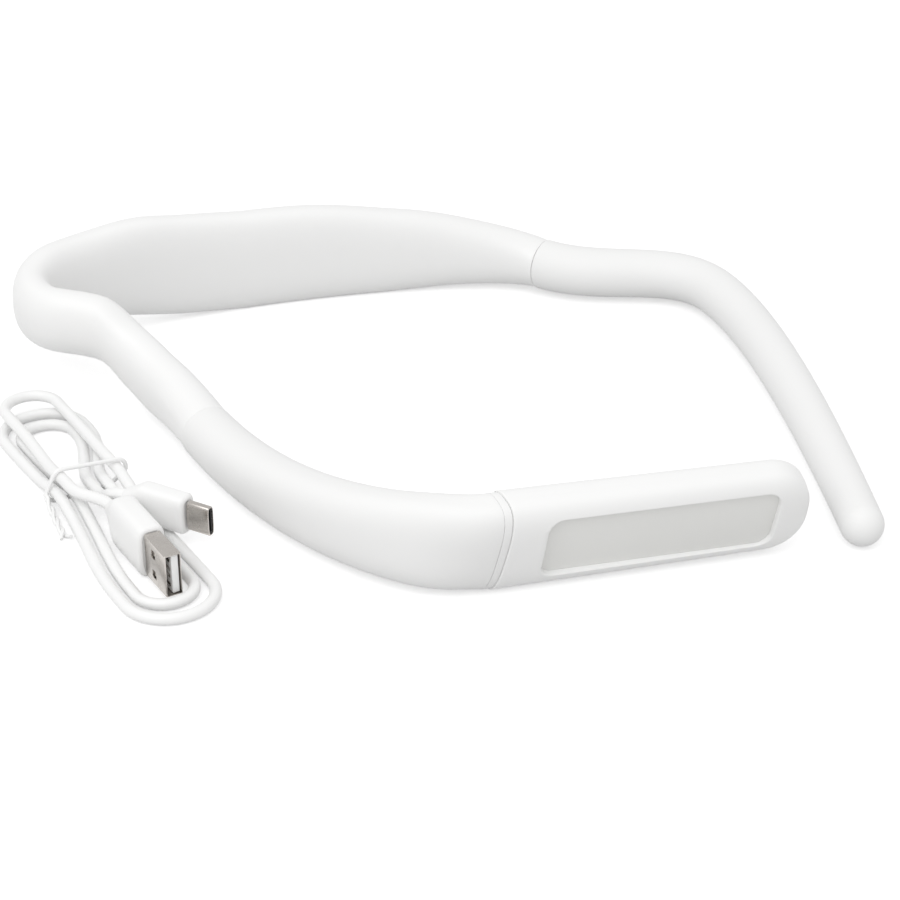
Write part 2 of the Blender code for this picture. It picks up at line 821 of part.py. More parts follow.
def line_points(track, from_share, to_share, spacing):
    count = max(2, round(abs(to_share - from_share) * track.length / spacing) + 1)
    return [track.point(share) for share in np.linspace(from_share, to_share, count)]


def make_arm(arm):
    """Five sleeves and five gooseneck cores, joined end to end by balls in sockets."""
    track = arm.track
    last = len(arm.hinge_shares)
    for number in range(last + 1):
        start = arm.hinge_shares[number - 1] if number else 0
        end = arm.hinge_shares[number] - arm.setback(number) / track.length if number < last else 1
        count = max(3, round((end - start) * track.length / SLEEVE_STATION) + 1)
        rings = [arm.ring(share) for share in np.linspace(start, end, count)]
        if number == last and arm.name == "plain":
            tip = track.point(1)
            way = track.forward(1)
            for k in range(1, TIP_RINGS + 1):
                angle = math.radians(90) * k / (TIP_RINGS + 0.5)
                place = tip + way * PLAIN_TIP_RADIUS * math.sin(angle)
                radius = PLAIN_TIP_RADIUS * math.cos(angle)
                rings.append(section(place, way, track.out(1), radius, radius, 2))
        sleeve = loft("%s_arm_sleeve_%d" % (arm.name, number + 1), rings, white_silicone)

        core_start = -(CORE_IN_ROOT / track.length)
        bore_start = -(OVERRUN / track.length)
        if number:
            along = arm.ball_radii(number - 1)[0]
            core_start = start + (along + BALL_GAP + EDGE / 2) / track.length
            bore_start = start
        if number < last:
            along = arm.ball_radii(number)[0]
            hinge = arm.hinge_shares[number]
            core_end = hinge + (math.sqrt(along ** 2 - CORE_RADIUS ** 2) - CORE_SETBACK) / track.length
            bore_end = hinge + (along + OVERRUN) / track.length
            join(sleeve, arm.ball("%s_ball_%d" % (arm.name, number + 1), number, 0))
        elif arm.name == "plain":
            core_end = 1 - SLEEVE_RADIUS / track.length
            bore_end = core_end + FIT / track.length
        else:
            core_end = 1 + CORE_IN_HEAD / track.length
            bore_end = 1 + OVERRUN / track.length
        bore_line = line_points(track, bore_start, bore_end, CORE_STATION)
        core_line = line_points(track, core_start, core_end, CORE_STATION)
        cut(sleeve, tube("%s_bore_%d" % (arm.name, number + 1), bore_line, CORE_RADIUS + FIT))
        if number:
            cut(sleeve, arm.ball("%s_socket_%d" % (arm.name, number), number - 1, BALL_GAP))
        core = tube("%s_arm_core_%d" % (arm.name, number + 1), core_line, CORE_RADIUS, steel)
        if number:
            hinge_place = track.point(start)
            stand_on_axis(sleeve, hinge_place)
            stand_on_axis(core, hinge_place)


# Lamp head, built in its own frame: X along it, Y to its front, Z up
HEAD_WALL = 1.6 * MM
FRONT_WALL_BACK = 4.5 * MM  # the front wall's inner face, from the centre line
PARTING = -4.6 * MM  # the split between front frame and back shell
CAVITY_START = 2 * MM
END_WALL = 7 * MM  # of the head's rounded end
CAVITY_END = HEAD_LENGTH - END_WALL
CAVITY_HALF_HEIGHT = 10.8 * MM
BACK_SHELL_FLOOR = -5.1 * MM
CORE_IN_HEAD = 8 * MM
ANCHOR_LENGTH = 5.2 * MM
ANCHOR_HALF_HEIGHT = 5 * MM
DIFFUSER_THICKNESS = 1.5 * MM
DIFFUSER_MARGIN = 1.2 * MM
TRAY_DEPTH = 3 * MM
TRAY_WALL = 1.2 * MM
LED_BOARD_THICKNESS = 1 * MM
LED_SIZE = 2.8 * MM
LED_HEIGHT = 0.8 * MM
LED_COLUMNS = 6
LED_ROWS = 2
BUTTON_RADIUS = 4 * MM
BUTTON_FLANGE = 1 * MM
BUTTON_FLANGE_THICKNESS = 0.6 * MM
BUTTON_PROUD = 0.6 * MM
BUTTON_TRAVEL = 0.3 * MM
BUTTON_ALONG = 40 * MM
SWITCH_SIZE = 4.5 * MM


def head_ring(along, inset=0.0):
    """A ring of the head's outside, or of its inside by an inset."""
    share = along / HEAD_LENGTH
    rounding = min(max((along - HEAD_LENGTH + HEAD_END_RADIUS) / HEAD_END_RADIUS, 0), 1)
    full = math.sqrt(1 - END_ROUNDNESS_SHARE * rounding ** 2)
    half_height = HEAD_HALF_HEIGHT + (HEAD_END_HALF_HEIGHT - HEAD_HALF_HEIGHT) * share
    half_thickness = HEAD_HALF_THICKNESS + (HEAD_END_HALF_THICKNESS - HEAD_HALF_THICKNESS) * share
    slant = math.atan(math.tan(SEAM_SLANT) * ease(1 - along / SEAM_FADE))
    return section(
        Vector((along, 0, 0)),
        Vector((1, 0, 0)),
        Vector((0, 1, 0)),
        half_thickness * (END_THICKNESS_SHARE + (1 - END_THICKNESS_SHARE) * full) - inset,
        half_height * (END_HEIGHT_SHARE + (1 - END_HEIGHT_SHARE) * full) - inset,
        HEAD_POWER,
        slant=slant,
    )


def make_head():
    frame = bpy.data.objects.new("lamp_head_frame", None)
    parts.objects.link(frame)
    forward = Vector((*head_way, 0))
    out = forward.cross(Vector((0, 0, 1)))
    up = Vector((0, 0, 1))
    front = out * math.cos(HEAD_LEAN) - up * math.sin(HEAD_LEAN)
    top = up * math.cos(HEAD_LEAN) + out * math.sin(HEAD_LEAN)
    # local Y points to the back so that X, Y and Z are right-handed
    turn = Matrix((forward, -front, top)).transposed().to_4x4()
    frame.matrix_world = Matrix.Translation(Vector((*HEAD_PLACE, HEAD_CENTRE_HEIGHT))) @ turn
    bpy.context.view_layer.update()

    def head_box(name, along, depth, upward, look=None, rounding=0.0):
        """A box by its ranges along the head, in front of its centre and above it."""
        low = (along[0], -depth[1], upward[0])
        high = (along[1], -depth[0], upward[1])
        return box(name, low, high, look, frame, rounding)

    def head_loft(name, stations, look=None, inset=0.0):
        rings = [[Vector((p.x, -p.y, p.z)) for p in head_ring(along, inset)] for along in stations]
        return loft(name, rings, look, frame)

    straight = [HEAD_LENGTH * share for share in head_station_shares]
    rounded = []
    for angle in head_end_angles:
        rounded.append(HEAD_LENGTH - HEAD_END_RADIUS * (1 - math.sin(math.radians(angle))))
    everything = (-OVERRUN - HEAD_HALF_THICKNESS, HEAD_LENGTH + OVERRUN)
    tall = (-HEAD_HALF_HEIGHT - OVERRUN, HEAD_HALF_HEIGHT + OVERRUN)
    front_reach = HEAD_HALF_THICKNESS + OVERRUN
    shell_split = PARTING - FIT / 2
    frame_split = PARTING + FIT / 2

    front_frame = head_loft("head_front_frame", straight + rounded, white_plastic)
    cut(front_frame, head_box("behind_frame", everything, (-front_reach, frame_split), tall))
    cavity = (-CAVITY_HALF_HEIGHT, CAVITY_HALF_HEIGHT)
    cut(
        front_frame,
        head_box(
            "head_cavity",
            (CAVITY_START, CAVITY_END),
            (PARTING - OVERRUN, FRONT_WALL_BACK),
            cavity,
            None,
            2 * EDGE,
        ),
    )
    window = (WINDOW_RISE - WINDOW_HEIGHT / 2, WINDOW_RISE + WINDOW_HEIGHT / 2)
    build = bmesh.new()
    bmesh.ops.create_cube(build, size=1)
    middle = Vector((WINDOW_START + WINDOW_LENGTH / 2, -front_reach, WINDOW_RISE))
    depth = 2 * (front_reach - FRONT_WALL_BACK + FIT)
    scale = Matrix.Diagonal((WINDOW_LENGTH, depth, WINDOW_HEIGHT, 1))
    bmesh.ops.transform(build, verts=build.verts, matrix=Matrix.Translation(middle) @ scale)
    corners = [edge for edge in build.edges if abs(edge.verts[0].co.y - edge.verts[1].co.y) > depth / 2]
    bmesh.ops.bevel(build, geom=corners, offset=WINDOW_CORNER, segments=3, profile=0.5, affect="EDGES")
    cut(front_frame, from_bmesh("window", build, None, frame))

    back_shell = head_loft("head_back_shell", straight + rounded, white_plastic)
    cut(back_shell, head_box("before_shell", everything, (shell_split, front_reach), tall))
    shell_room = (-CAVITY_HALF_HEIGHT + HEAD_WALL, CAVITY_HALF_HEIGHT - HEAD_WALL)
    cut(
        back_shell,
        head_box(
            "shell_room",
            (CAVITY_START + HEAD_WALL, CAVITY_END - HEAD_WALL),
            (BACK_SHELL_FLOOR, PARTING + OVERRUN),
            shell_room,
        ),
    )

    collar_stations = (-COLLAR_LENGTH - FIT, -FIT)
    collar = head_loft("head_collar", collar_stations, white_silicone, FIT)
    hole_start = Vector((-COLLAR_LENGTH - OVERRUN, 0, 0))
    hole_end = Vector((CAVITY_START + ANCHOR_LENGTH + OVERRUN, 0, 0))
    core_tool = tube("core_hole", [hole_start, hole_end], CORE_RADIUS + FIT, parent=frame)
    cut(collar, core_tool)
    cut(front_frame, core_tool)

    anchor_start = CAVITY_START + FIT
    anchor = head_box(
        "core_anchor",
        (anchor_start, anchor_start + ANCHOR_LENGTH),
        (PARTING + FIT / 2, FRONT_WALL_BACK - FIT),
        (-ANCHOR_HALF_HEIGHT, ANCHOR_HALF_HEIGHT),
        steel,
        2 * EDGE,
    )
    cut(anchor, core_tool)

    panel_along = (WINDOW_START - DIFFUSER_MARGIN, WINDOW_START + WINDOW_LENGTH + DIFFUSER_MARGIN)
    panel_up = (window[0] - DIFFUSER_MARGIN, window[1] + DIFFUSER_MARGIN)
    panel_front = FRONT_WALL_BACK - FIT
    panel_back = panel_front - DIFFUSER_THICKNESS
    head_box("diffuser", panel_along, (panel_back, panel_front), panel_up, frosted_panel)
    tray_front = panel_back - FIT
    tray_back = tray_front - TRAY_DEPTH
    tray = head_box("reflector_tray", panel_along, (tray_back, tray_front), panel_up, white_plastic)
    opening_along = (panel_along[0] + TRAY_WALL, panel_along[1] - TRAY_WALL)
    opening_up = (panel_up[0] + TRAY_WALL, panel_up[1] - TRAY_WALL)
    opening_depth = (tray_back - OVERRUN, tray_front + OVERRUN)
    cut(tray, head_box("tray_opening", opening_along, opening_depth, opening_up))
    board_front = tray_back - FIT
    board_back = board_front - LED_BOARD_THICKNESS
    board = head_box("led_board", panel_along, (board_back, board_front), panel_up, green_board)
    for column in range(LED_COLUMNS):
        for row in range(LED_ROWS):
            along = opening_along[0] + WINDOW_LENGTH * (column + 0.5) / LED_COLUMNS
            upward = WINDOW_RISE + WINDOW_HEIGHT * ((row + 0.5) / LED_ROWS - 0.5)
            led = head_box(
                "led_%d_%d" % (column, row),
                (along - LED_SIZE / 2, along + LED_SIZE / 2),
                (board_front - LED_BOARD_THICKNESS / 2, board_front + LED_HEIGHT),
                (upward - LED_SIZE / 2, upward + LED_SIZE / 2),
            )
            join(board, led)

    button_back = -HEAD_HALF_THICKNESS - BUTTON_PROUD
    flange_back = BACK_SHELL_FLOOR + FIT
    flange_front = flange_back + BUTTON_FLANGE_THICKNESS
    cap = turned(
        "power_button",
        (
            (0, -button_back),
            (BUTTON_RADIUS - EDGE, -button_back),
            (BUTTON_RADIUS, -button_back - EDGE),
            (BUTTON_RADIUS, -flange_back),
            (BUTTON_RADIUS + BUTTON_FLANGE, -flange_back),
            (BUTTON_RADIUS + BUTTON_FLANGE, -flange_front),
            (0, -flange_front),
        ),
        white_silicone,
        frame,
        steps=CAP_SEGMENTS,
    )
    hole_radius = BUTTON_RADIUS + FIT
    hole = turned(
        "button_hole",
        (
            (0, HEAD_HALF_THICKNESS + OVERRUN),
            (hole_radius, HEAD_HALF_THICKNESS + OVERRUN),
            (hole_radius, -BACK_SHELL_FLOOR - OVERRUN),
            (0, -BACK_SHELL_FLOOR - OVERRUN),
        ),
        None,
        frame,
        steps=CAP_SEGMENTS,
    )
    for piece in (cap, hole):
        piece.location = (BUTTON_ALONG, 0, 0)
        piece.rotation_euler = (math.radians(-90), 0, 0)
    cut(back_shell, hole)
    switch_front = board_back - FIT
    switch_back = flange_front + BUTTON_TRAVEL + FIT
    head_box(
        "tact_switch",
        (BUTTON_ALONG - SWITCH_SIZE / 2, BUTTON_ALONG + SWITCH_SIZE / 2),
        (switch_back, switch_front),
        (-SWITCH_SIZE / 2, SWITCH_SIZE / 2),
        black_plastic,
    )


# Charging cable, tied in a hank beside the lamp arm: U runs up the hank, V to its right
CABLE_DIAMETER = 3.2 * MM
TIE_X = -109.6 * MM
TIE_Y = -54.7 * MM
HANK_HEADING = math.radians(18.6)  # of U, from straight back towards the light
HALF_TURN_POINTS = 12
LAYER_HEIGHT = 3.8 * MM
UPPER_FOLD_V = 3 * MM  # the folds' middles
LOWER_FOLD_V = -1.5 * MM
UPPER_SPREAD = 34 * MM  # from the waist to where the strands are fully apart
LOWER_SPREAD = 50 * MM
# for each half turn, upwards first: how far it reaches and its fold's radius
hank_reaches = [reach * MM for reach in (42, 61, 49, 68, 54)]
hank_fold_radii = [radius * MM for radius in (7.6, 7.6, 11.7, 11.7, 7.6)]
# V at the waist, at each half turn's start and at the end
hank_waists = [v * MM for v in (1.9, -3.75, 6, -7.85, 10.1, -5.8)]
FOLD_SHARE = 0.5  # of each half turn's points
TABLE_GAP = 0.05 * MM
TIE_RADIUS = 0.6 * MM
WAIST_LENGTH = 15 * MM  # over which the hank lifts to lie on its tie
TIE_FROM_WAIST = 2.5 * MM
TIE_ARC_POINTS = 5
GAP_SAMPLES = 8  # in each stretch, for the least gap
NEIGHBOUR_DIAMETERS = 4  # walked, within which two places are neighbours
waist_lift = 2 * (TIE_RADIUS + FIT)
hank_up = Vector((math.sin(HANK_HEADING), math.cos(HANK_HEADING), 0))
hank_right = hank_up.cross(Vector((0, 0, 1)))


def on_hank(u, v, height):
    place = Vector((TIE_X, TIE_Y, 0)) + hank_up * u + hank_right * v
    place.z = height
    return place


def hank_place(number):
    """U, V and height of one of the hank's points, counted from the waist's right side and up."""
    last = len(hank_reaches) - 1
    half = min(number // HALF_TURN_POINTS, last)
    step = number / HALF_TURN_POINTS - half
    way = 1 if half % 2 == 0 else -1
    middle, spread = (UPPER_FOLD_V, UPPER_SPREAD) if way > 0 else (LOWER_FOLD_V, LOWER_SPREAD)
    radius = hank_fold_radii[half]
    reach = hank_reaches[half] - radius
    run = (1 - FOLD_SHARE) / 2
    from_waist = min(step, 1 - step) / run
    if from_waist < 1:
        first = step < 0.5
        waist = hank_waists[half if first else half + 1]
        edge = middle + (way if first else -way) * radius
        u = way * reach * from_waist
        v = waist + (edge - waist) * (1 - math.cos(math.pi * min(abs(u) / spread, 1))) / 2
    else:
        angle = math.pi * (step - run) / FOLD_SHARE
        u = way * (reach + radius * math.sin(angle))
        v = middle + way * radius * math.cos(angle)
    lift = waist_lift * (1 - ease(abs(u) / WAIST_LENGTH))
    # the last half turn climbs onto the others, beside its waist
    layer = ease((number - HALF_TURN_POINTS * last + 1) / 2)
    return np.array((u, v, CABLE_DIAMETER / 2 + TABLE_GAP + lift + LAYER_HEIGHT * layer))


def strand_at_tie(waist_point, point_above):
    """V and height of the strand between two of the hank's points, where it passes the tie."""
    near = hank_place(waist_point)
    far = hank_place(point_above)
    return (near + (far - near) * TIE_FROM_WAIST / far[0])[1:]


def least_gap(points, diameter):
    """The least clear distance between stretches of a tube that aren't neighbours."""
    line = np.array(points)
    stretches = zip(line, line[1:])
    fine = np.concatenate([np.linspace(a, b, GAP_SAMPLES, endpoint=False) for a, b in stretches])
    walked = distances_along(fine)
    apart = np.linalg.norm(fine[:, None] - fine[None], axis=2)
    apart[np.abs(walked[:, None] - walked[None]) < NEIGHBOUR_DIAMETERS * diameter] = np.inf
    return float(apart.min()) - diameter


def plug_frame(name, tail, heading):
    """An empty at a plug's tail: X to its mouth, Z up, turned by a heading from straight down the hank."""
    forward = -hank_up * math.cos(heading) + hank_right * math.sin(heading)
    out = forward.cross(Vector((0, 0, 1)))
    frame = bpy.data.objects.new(name, None)
    parts.objects.link(frame)
    turn = Matrix((forward, -out, Vector((0, 0, 1)))).transposed().to_4x4()
    frame.matrix_world = Matrix.Translation(tail) @ turn
    return frame, forward


tail_station_shares = (0, 0.35, 0.7, 1)
GRIP_POWER = 4
plug_ways = (Vector((1, 0, 0)), Vector((0, 1, 0)))


def overmould(name, length, tail_length, tail_radius, half_thickness, half_width, frame):
    """A plug's moulded grip: a round tail that swells into a squared body."""
    rings = []
    for share in tail_station_shares:
        swell = ease(share)
        thickness = tail_radius + (half_thickness - tail_radius) * swell
        width = tail_radius + (half_width - tail_radius) * swell
        place = Vector((tail_length * share, 0, 0))
        power = 2 + (GRIP_POWER - 2) * swell
        rings.append(section(place, *plug_ways, thickness, width, power))
    for along, inset in ((length - 3 * EDGE, 0), (length - EDGE, EDGE), (length, 3 * EDGE)):
        place = Vector((along, 0, 0))
        sizes = (half_thickness - inset, half_width - inset)
        rings.append(section(place, *plug_ways, *sizes, GRIP_POWER))
    return loft(name, rings, cable_white, frame)


LEAD_HANDLE_SHARE = 0.4
LEAD_POINTS = 9


def lead(name, start, start_way, end, end_way):
    """A free stretch of cable between two faces, leaving and meeting them squarely."""
    reach = (end - start).length * LEAD_HANDLE_SHARE
    points = []
    for t in np.linspace(0, 1, LEAD_POINTS):
        point = (1 - t) ** 3 * start + 3 * t * (1 - t) ** 2 * (start + start_way * reach)
        point += 3 * t * t * (1 - t) * (end - end_way * reach) + t ** 3 * end
        points.append(point)
    line = [start, start + start_way * FIT, *points[1:-1], end - end_way * FIT, end]
    tube(name, line, CABLE_DIAMETER / 2, cable_white)


PLUG_WALL = 0.35 * MM
A_TAIL_U = -19 * MM
A_TAIL_V = -0.5 * MM
A_LENGTH = 26 * MM
A_TAIL_LENGTH = 9 * MM
A_HALF_THICKNESS = 3.9 * MM
A_HALF_WIDTH = 7.2 * MM
A_SHELL_LENGTH = 12.5 * MM
A_SHELL_THICKNESS = 4.5 * MM
A_SHELL_WIDTH = 12 * MM
A_TONGUE_THICKNESS = 1.9 * MM
A_LATCH_SIZE = 2.3 * MM
A_LATCH_ALONG = 5.5 * MM
A_LATCH_OFFSET = 2.9 * MM
C_TAIL_U = -18 * MM
C_TAIL_V = 4 * MM
C_HEADING = math.radians(30)
C_LENGTH = 20 * MM
C_TAIL_LENGTH = 7 * MM
C_HALF_THICKNESS = 3.2 * MM
C_HALF_WIDTH = 5.4 * MM
C_SHELL_LENGTH = 6.7 * MM
C_SHELL_THICKNESS = 2.56 * MM
C_SHELL_WIDTH = 8.34 * MM
C_SLOT = 0.8 * MM
TAIL_RADIUS = 2.3 * MM


def make_cable():
    last = HALF_TURN_POINTS * len(hank_reaches)
    walk = [on_hank(*hank_place(number)) for number in range(last + 1)]
    walk = [walk[0] - hank_up * CABLE_DIAMETER, *walk, walk[-1] - hank_up * CABLE_DIAMETER]
    print("least gap of the hank to itself, mm:", round(least_gap(walk, CABLE_DIAMETER) / MM, 2))
    tube("cable_hank", walk, CABLE_DIAMETER / 2, cable_white, resolution=1)

    # The tie runs round the waist's outer strands at an even distance
    outer_strands = ((2, 1), (4, 1), (5, -1), (3, -1))
    waists = [(HALF_TURN_POINTS * half, beside) for half, beside in outer_strands]
    corners = [strand_at_tie(waist, waist + beside) for waist, beside in waists]
    away = CABLE_DIAMETER / 2 + FIT + TIE_RADIUS
    loop = []
    for before, corner, after in zip(corners[-1:] + corners, corners, corners[1:] + corners[:1]):
        a, b = corner - before, after - corner
        from_angle = math.atan2(-a[0], a[1])
        to_angle = math.atan2(-b[0], b[1])
        while to_angle < from_angle:
            to_angle += 2 * math.pi
        for angle in np.linspace(from_angle, to_angle, TIE_ARC_POINTS):
            v, height = corner + away * np.array((math.cos(angle), math.sin(angle)))
            loop.append(on_hank(TIE_FROM_WAIST, v, height))
    line = bpy.data.curves.new("cable_tie", "CURVE")
    line.dimensions = "3D"
    line.bevel_depth = TIE_RADIUS
    line.bevel_resolution = 1
    run = line.splines.new("POLY")
    run.points.add(len(loop) - 1)
    run.use_cyclic_u = True
    for control, point in zip(run.points, loop):
        control.co = (*point, 1)
    tie = bpy.data.objects.new("cable_tie", line)
    tie.data.materials.append(cable_white)
    parts.objects.link(tie)

    tail_a = on_hank(A_TAIL_U, A_TAIL_V, A_HALF_WIDTH + FIT)
    frame, way_a = plug_frame("usb_a_frame", tail_a, 0)
    overmould("usb_a_overmould", A_LENGTH, A_TAIL_LENGTH, TAIL_RADIUS, A_HALF_THICKNESS, A_HALF_WIDTH, frame)
    start = A_LENGTH + FIT
    end = start + A_SHELL_LENGTH
    thick = A_SHELL_THICKNESS / 2
    wide = A_SHELL_WIDTH / 2
    shell = box("usb_a_shell", (start, -thick, -wide), (end, thick, wide), nickel, frame)
    inner_low = (start + PLUG_WALL, -thick + PLUG_WALL, -wide + PLUG_WALL)
    inner_high = (end + OVERRUN, thick - PLUG_WALL, wide - PLUG_WALL)
    cut(shell, box("usb_a_hollow", inner_low, inner_high, parent=frame))
    for number, height in enumerate((-A_LATCH_OFFSET, A_LATCH_OFFSET), 1):
        middle = start + A_LATCH_ALONG
        half = A_LATCH_SIZE / 2
        latch_low = (middle - half, -thick - OVERRUN, height - half)
        latch_high = (middle + half, thick + OVERRUN, height + half)
        cut(shell, box("latch_%d" % number, latch_low, latch_high, parent=frame))
    lining = PLUG_WALL + FIT
    tongue_low = (start + lining, thick - lining - A_TONGUE_THICKNESS, -wide + lining)
    tongue_high = (end - EDGE, thick - lining, wide - lining)
    box("usb_a_tongue", tongue_low, tongue_high, white_plastic, frame)

    tail_height = C_HALF_WIDTH + CABLE_DIAMETER + TABLE_GAP + 2 * FIT
    tail_c = on_hank(C_TAIL_U, C_TAIL_V, tail_height)
    frame, way_c = plug_frame("usb_c_frame", tail_c, C_HEADING)
    overmould("usb_c_overmould", C_LENGTH, C_TAIL_LENGTH, TAIL_RADIUS, C_HALF_THICKNESS, C_HALF_WIDTH, frame)
    start = C_LENGTH + FIT
    end = start + C_SHELL_LENGTH
    outer = (C_SHELL_THICKNESS / 2, C_SHELL_WIDTH / 2)
    inner = (outer[0] - PLUG_WALL, outer[1] - PLUG_WALL)
    lining = (inner[0] - FIT, inner[1] - FIT)

    def oval(name, from_along, to_along, sizes, look=None):
        spans = [Vector((along, 0, 0)) for along in (from_along, to_along)]
        return loft(name, [section(place, *plug_ways, *sizes, GRIP_POWER) for place in spans], look, frame)

    shell = oval("usb_c_shell", start, end, outer, nickel)
    cut(shell, oval("usb_c_hollow", start + PLUG_WALL, end + OVERRUN, inner))
    insert = oval("usb_c_insert", start + PLUG_WALL + FIT, end - EDGE, lining, black_plastic)
    slot_low = (start + 3 * PLUG_WALL, -C_SLOT / 2, -lining[1] + 2 * PLUG_WALL)
    slot_high = (end + OVERRUN, C_SLOT / 2, lining[1] - 2 * PLUG_WALL)
    cut(insert, box("usb_c_slot", slot_low, slot_high, parent=frame))

    lead("lead_usb_c", walk[0] - hank_up * FIT, -hank_up, tail_c - way_c * FIT, way_c)
    lead("lead_usb_a", walk[-1] - hank_up * FIT, -hank_up, tail_a - way_a * FIT, way_a)


make_housing()
make_arm(lamp_arm)
make_arm(plain_arm)
make_head()
make_cable()
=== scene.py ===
import math

import bmesh
import bpy
import numpy as np
from mathutils import Matrix, Vector


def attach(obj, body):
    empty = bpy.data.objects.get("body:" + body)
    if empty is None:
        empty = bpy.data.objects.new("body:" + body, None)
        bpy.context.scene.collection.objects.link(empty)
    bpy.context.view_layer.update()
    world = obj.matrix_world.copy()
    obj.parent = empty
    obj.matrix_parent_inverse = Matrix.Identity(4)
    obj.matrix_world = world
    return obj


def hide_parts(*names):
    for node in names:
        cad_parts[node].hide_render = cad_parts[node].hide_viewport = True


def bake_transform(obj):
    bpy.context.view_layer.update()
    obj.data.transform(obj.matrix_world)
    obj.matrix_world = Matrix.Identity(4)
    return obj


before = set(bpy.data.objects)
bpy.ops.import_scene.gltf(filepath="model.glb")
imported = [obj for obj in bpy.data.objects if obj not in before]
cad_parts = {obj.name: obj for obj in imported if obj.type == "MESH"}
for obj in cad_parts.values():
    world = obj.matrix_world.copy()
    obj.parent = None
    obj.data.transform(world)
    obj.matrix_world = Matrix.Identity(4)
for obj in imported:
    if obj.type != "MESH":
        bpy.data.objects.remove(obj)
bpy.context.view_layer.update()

mm = 0.001
fit = 0.3 * mm  # between pieces that touch
up = Vector((0, 0, 1))


# Helpers for picking and for modelling by hand

def clearSelection():
    if bpy.context.mode != "OBJECT":
        bpy.ops.object.mode_set(mode="OBJECT")
    bpy.ops.object.select_all(action="DESELECT")


def pick(piece):  # the one selected and active object
    clearSelection()
    piece.select_set(True)
    bpy.context.view_layer.objects.active = piece


def named(name):  # the primitive that was just added
    piece = bpy.context.object
    piece.name = piece.data.name = name
    return piece


def carve(piece, *tools):
    pick(piece)
    for tool in tools:
        cut = piece.modifiers.new("Cut", "BOOLEAN")
        cut.operation = "DIFFERENCE"
        cut.solver = "EXACT"
        cut.object = tool
        bpy.ops.object.modifier_apply(modifier=cut.name)
        bpy.data.objects.remove(tool, do_unlink=True)


def joined(pieces):
    pick(pieces[0])
    for piece in pieces:
        piece.select_set(True)
    bpy.ops.object.join()
    return pieces[0]


def smoothSides(piece, angle=35):
    pick(piece)
    bpy.ops.object.shade_smooth_by_angle(angle=math.radians(angle))
    return piece


def sweepRings(name, rings, looped=False):
    # a circle is extruded from ring to ring, and a looped one comes back to its first ring
    clearSelection()
    fill = "NOTHING" if looped else "NGON"
    bpy.ops.mesh.primitive_circle_add(vertices=len(rings[0]), radius=1, fill_type=fill)
    piece = named(name)
    bpy.ops.object.mode_set(mode="EDIT")
    bpy.ops.mesh.select_mode(type="EDGE" if looped else "FACE")
    bpy.ops.mesh.select_all(action="SELECT")
    build = bmesh.from_edit_mesh(piece.data)
    order = build.verts.layers.int.new("ringOrder")
    for number, corner in enumerate(build.verts):
        corner[order] = number
        corner.co = rings[0][number]
    bmesh.update_edit_mesh(piece.data)
    for ring in rings[1:] + ([rings[0]] if looped else []):
        bpy.ops.mesh.extrude_region()
        build = bmesh.from_edit_mesh(piece.data)
        order = build.verts.layers.int["ringOrder"]
        for corner in build.verts:
            if corner.select:
                corner.co = ring[corner[order]]
        bmesh.update_edit_mesh(piece.data)
    bpy.ops.mesh.select_mode(type="VERT")
    bpy.ops.mesh.select_all(action="SELECT")
    if looped:
        bpy.ops.mesh.remove_doubles(threshold=0.001 * mm)
    bpy.ops.mesh.normals_make_consistent(inside=False)
    bpy.ops.object.mode_set(mode="OBJECT")
    piece.data.attributes.remove(piece.data.attributes["ringOrder"])
    return smoothSides(piece)


def roundedBlock(name, low, high, place=Matrix(), rounding=0.0, segments=3):
    clearSelection()
    bpy.ops.mesh.primitive_cube_add(size=1)
    block = named(name)
    size = Vector(high) - Vector(low)
    middle = (Vector(high) + Vector(low)) / 2
    block.matrix_world = place @ Matrix.Translation(middle) @ Matrix.Diagonal((*size, 1))
    bpy.ops.object.transform_apply(location=True, rotation=True, scale=True)
    if rounding:
        bpy.ops.object.mode_set(mode="EDIT")
        bpy.ops.mesh.select_all(action="SELECT")
        bpy.ops.mesh.bevel(offset=rounding, segments=segments, affect="EDGES")
        bpy.ops.object.mode_set(mode="OBJECT")
    return smoothSides(block)


def crossSection(place, side, top, halfThickness, halfHeight, power, count):
    # A rounded ring; the power squares it from an ellipse
    ring = []
    for k in range(count):
        angle = 2 * math.pi * (k + 0.5) / count
        across = math.copysign(abs(math.cos(angle)) ** (2 / power), math.cos(angle))
        upward = math.copysign(abs(math.sin(angle)) ** (2 / power), math.sin(angle))
        ring.append(place + side * across * halfThickness + top * upward * halfHeight)
    return ring


def turnedRings(place, axis, profile, count):  # rings round an axis, from radius and height pairs
    side = axis.orthogonal().normalized()
    top = axis.cross(side)
    rings = []
    for radius, height in profile:
        rings.append(crossSection(place + axis * height, side, top, radius, radius, 2, count))
    return rings


def ease(share):
    share = min(max(share, 0), 1)
    return share * share * (3 - 2 * share)


def throughKnots(knots, values):  # a smooth line that never swings past its values
    x = np.array(knots)
    y = np.array(values)
    rise = np.diff(y) / np.diff(x)
    slope = np.zeros(len(x))
    slope[0] = rise[0]
    slope[-1] = rise[-1]
    for k in range(1, len(x) - 1):
        if rise[k - 1] * rise[k] > 0:
            slope[k] = 2 * rise[k - 1] * rise[k] / (rise[k - 1] + rise[k])

    def at(share):
        k = int(np.clip(np.searchsorted(x, share) - 1, 0, len(x) - 2))
        run = x[k + 1] - x[k]
        t = min(max((share - x[k]) / run, 0), 1)
        start = (1 + 2 * t) * (1 - t) ** 2 * y[k] + t * (1 - t) ** 2 * run * slope[k]
        end = t * t * (3 - 2 * t) * y[k + 1] + t * t * (t - 1) * run * slope[k + 1]
        return float(start + end)

    return at


def onCubic(t, a, b, c, d):
    return (1 - t) ** 3 * a + 3 * t * (1 - t) ** 2 * b + 3 * t * t * (1 - t) * c + t ** 3 * d


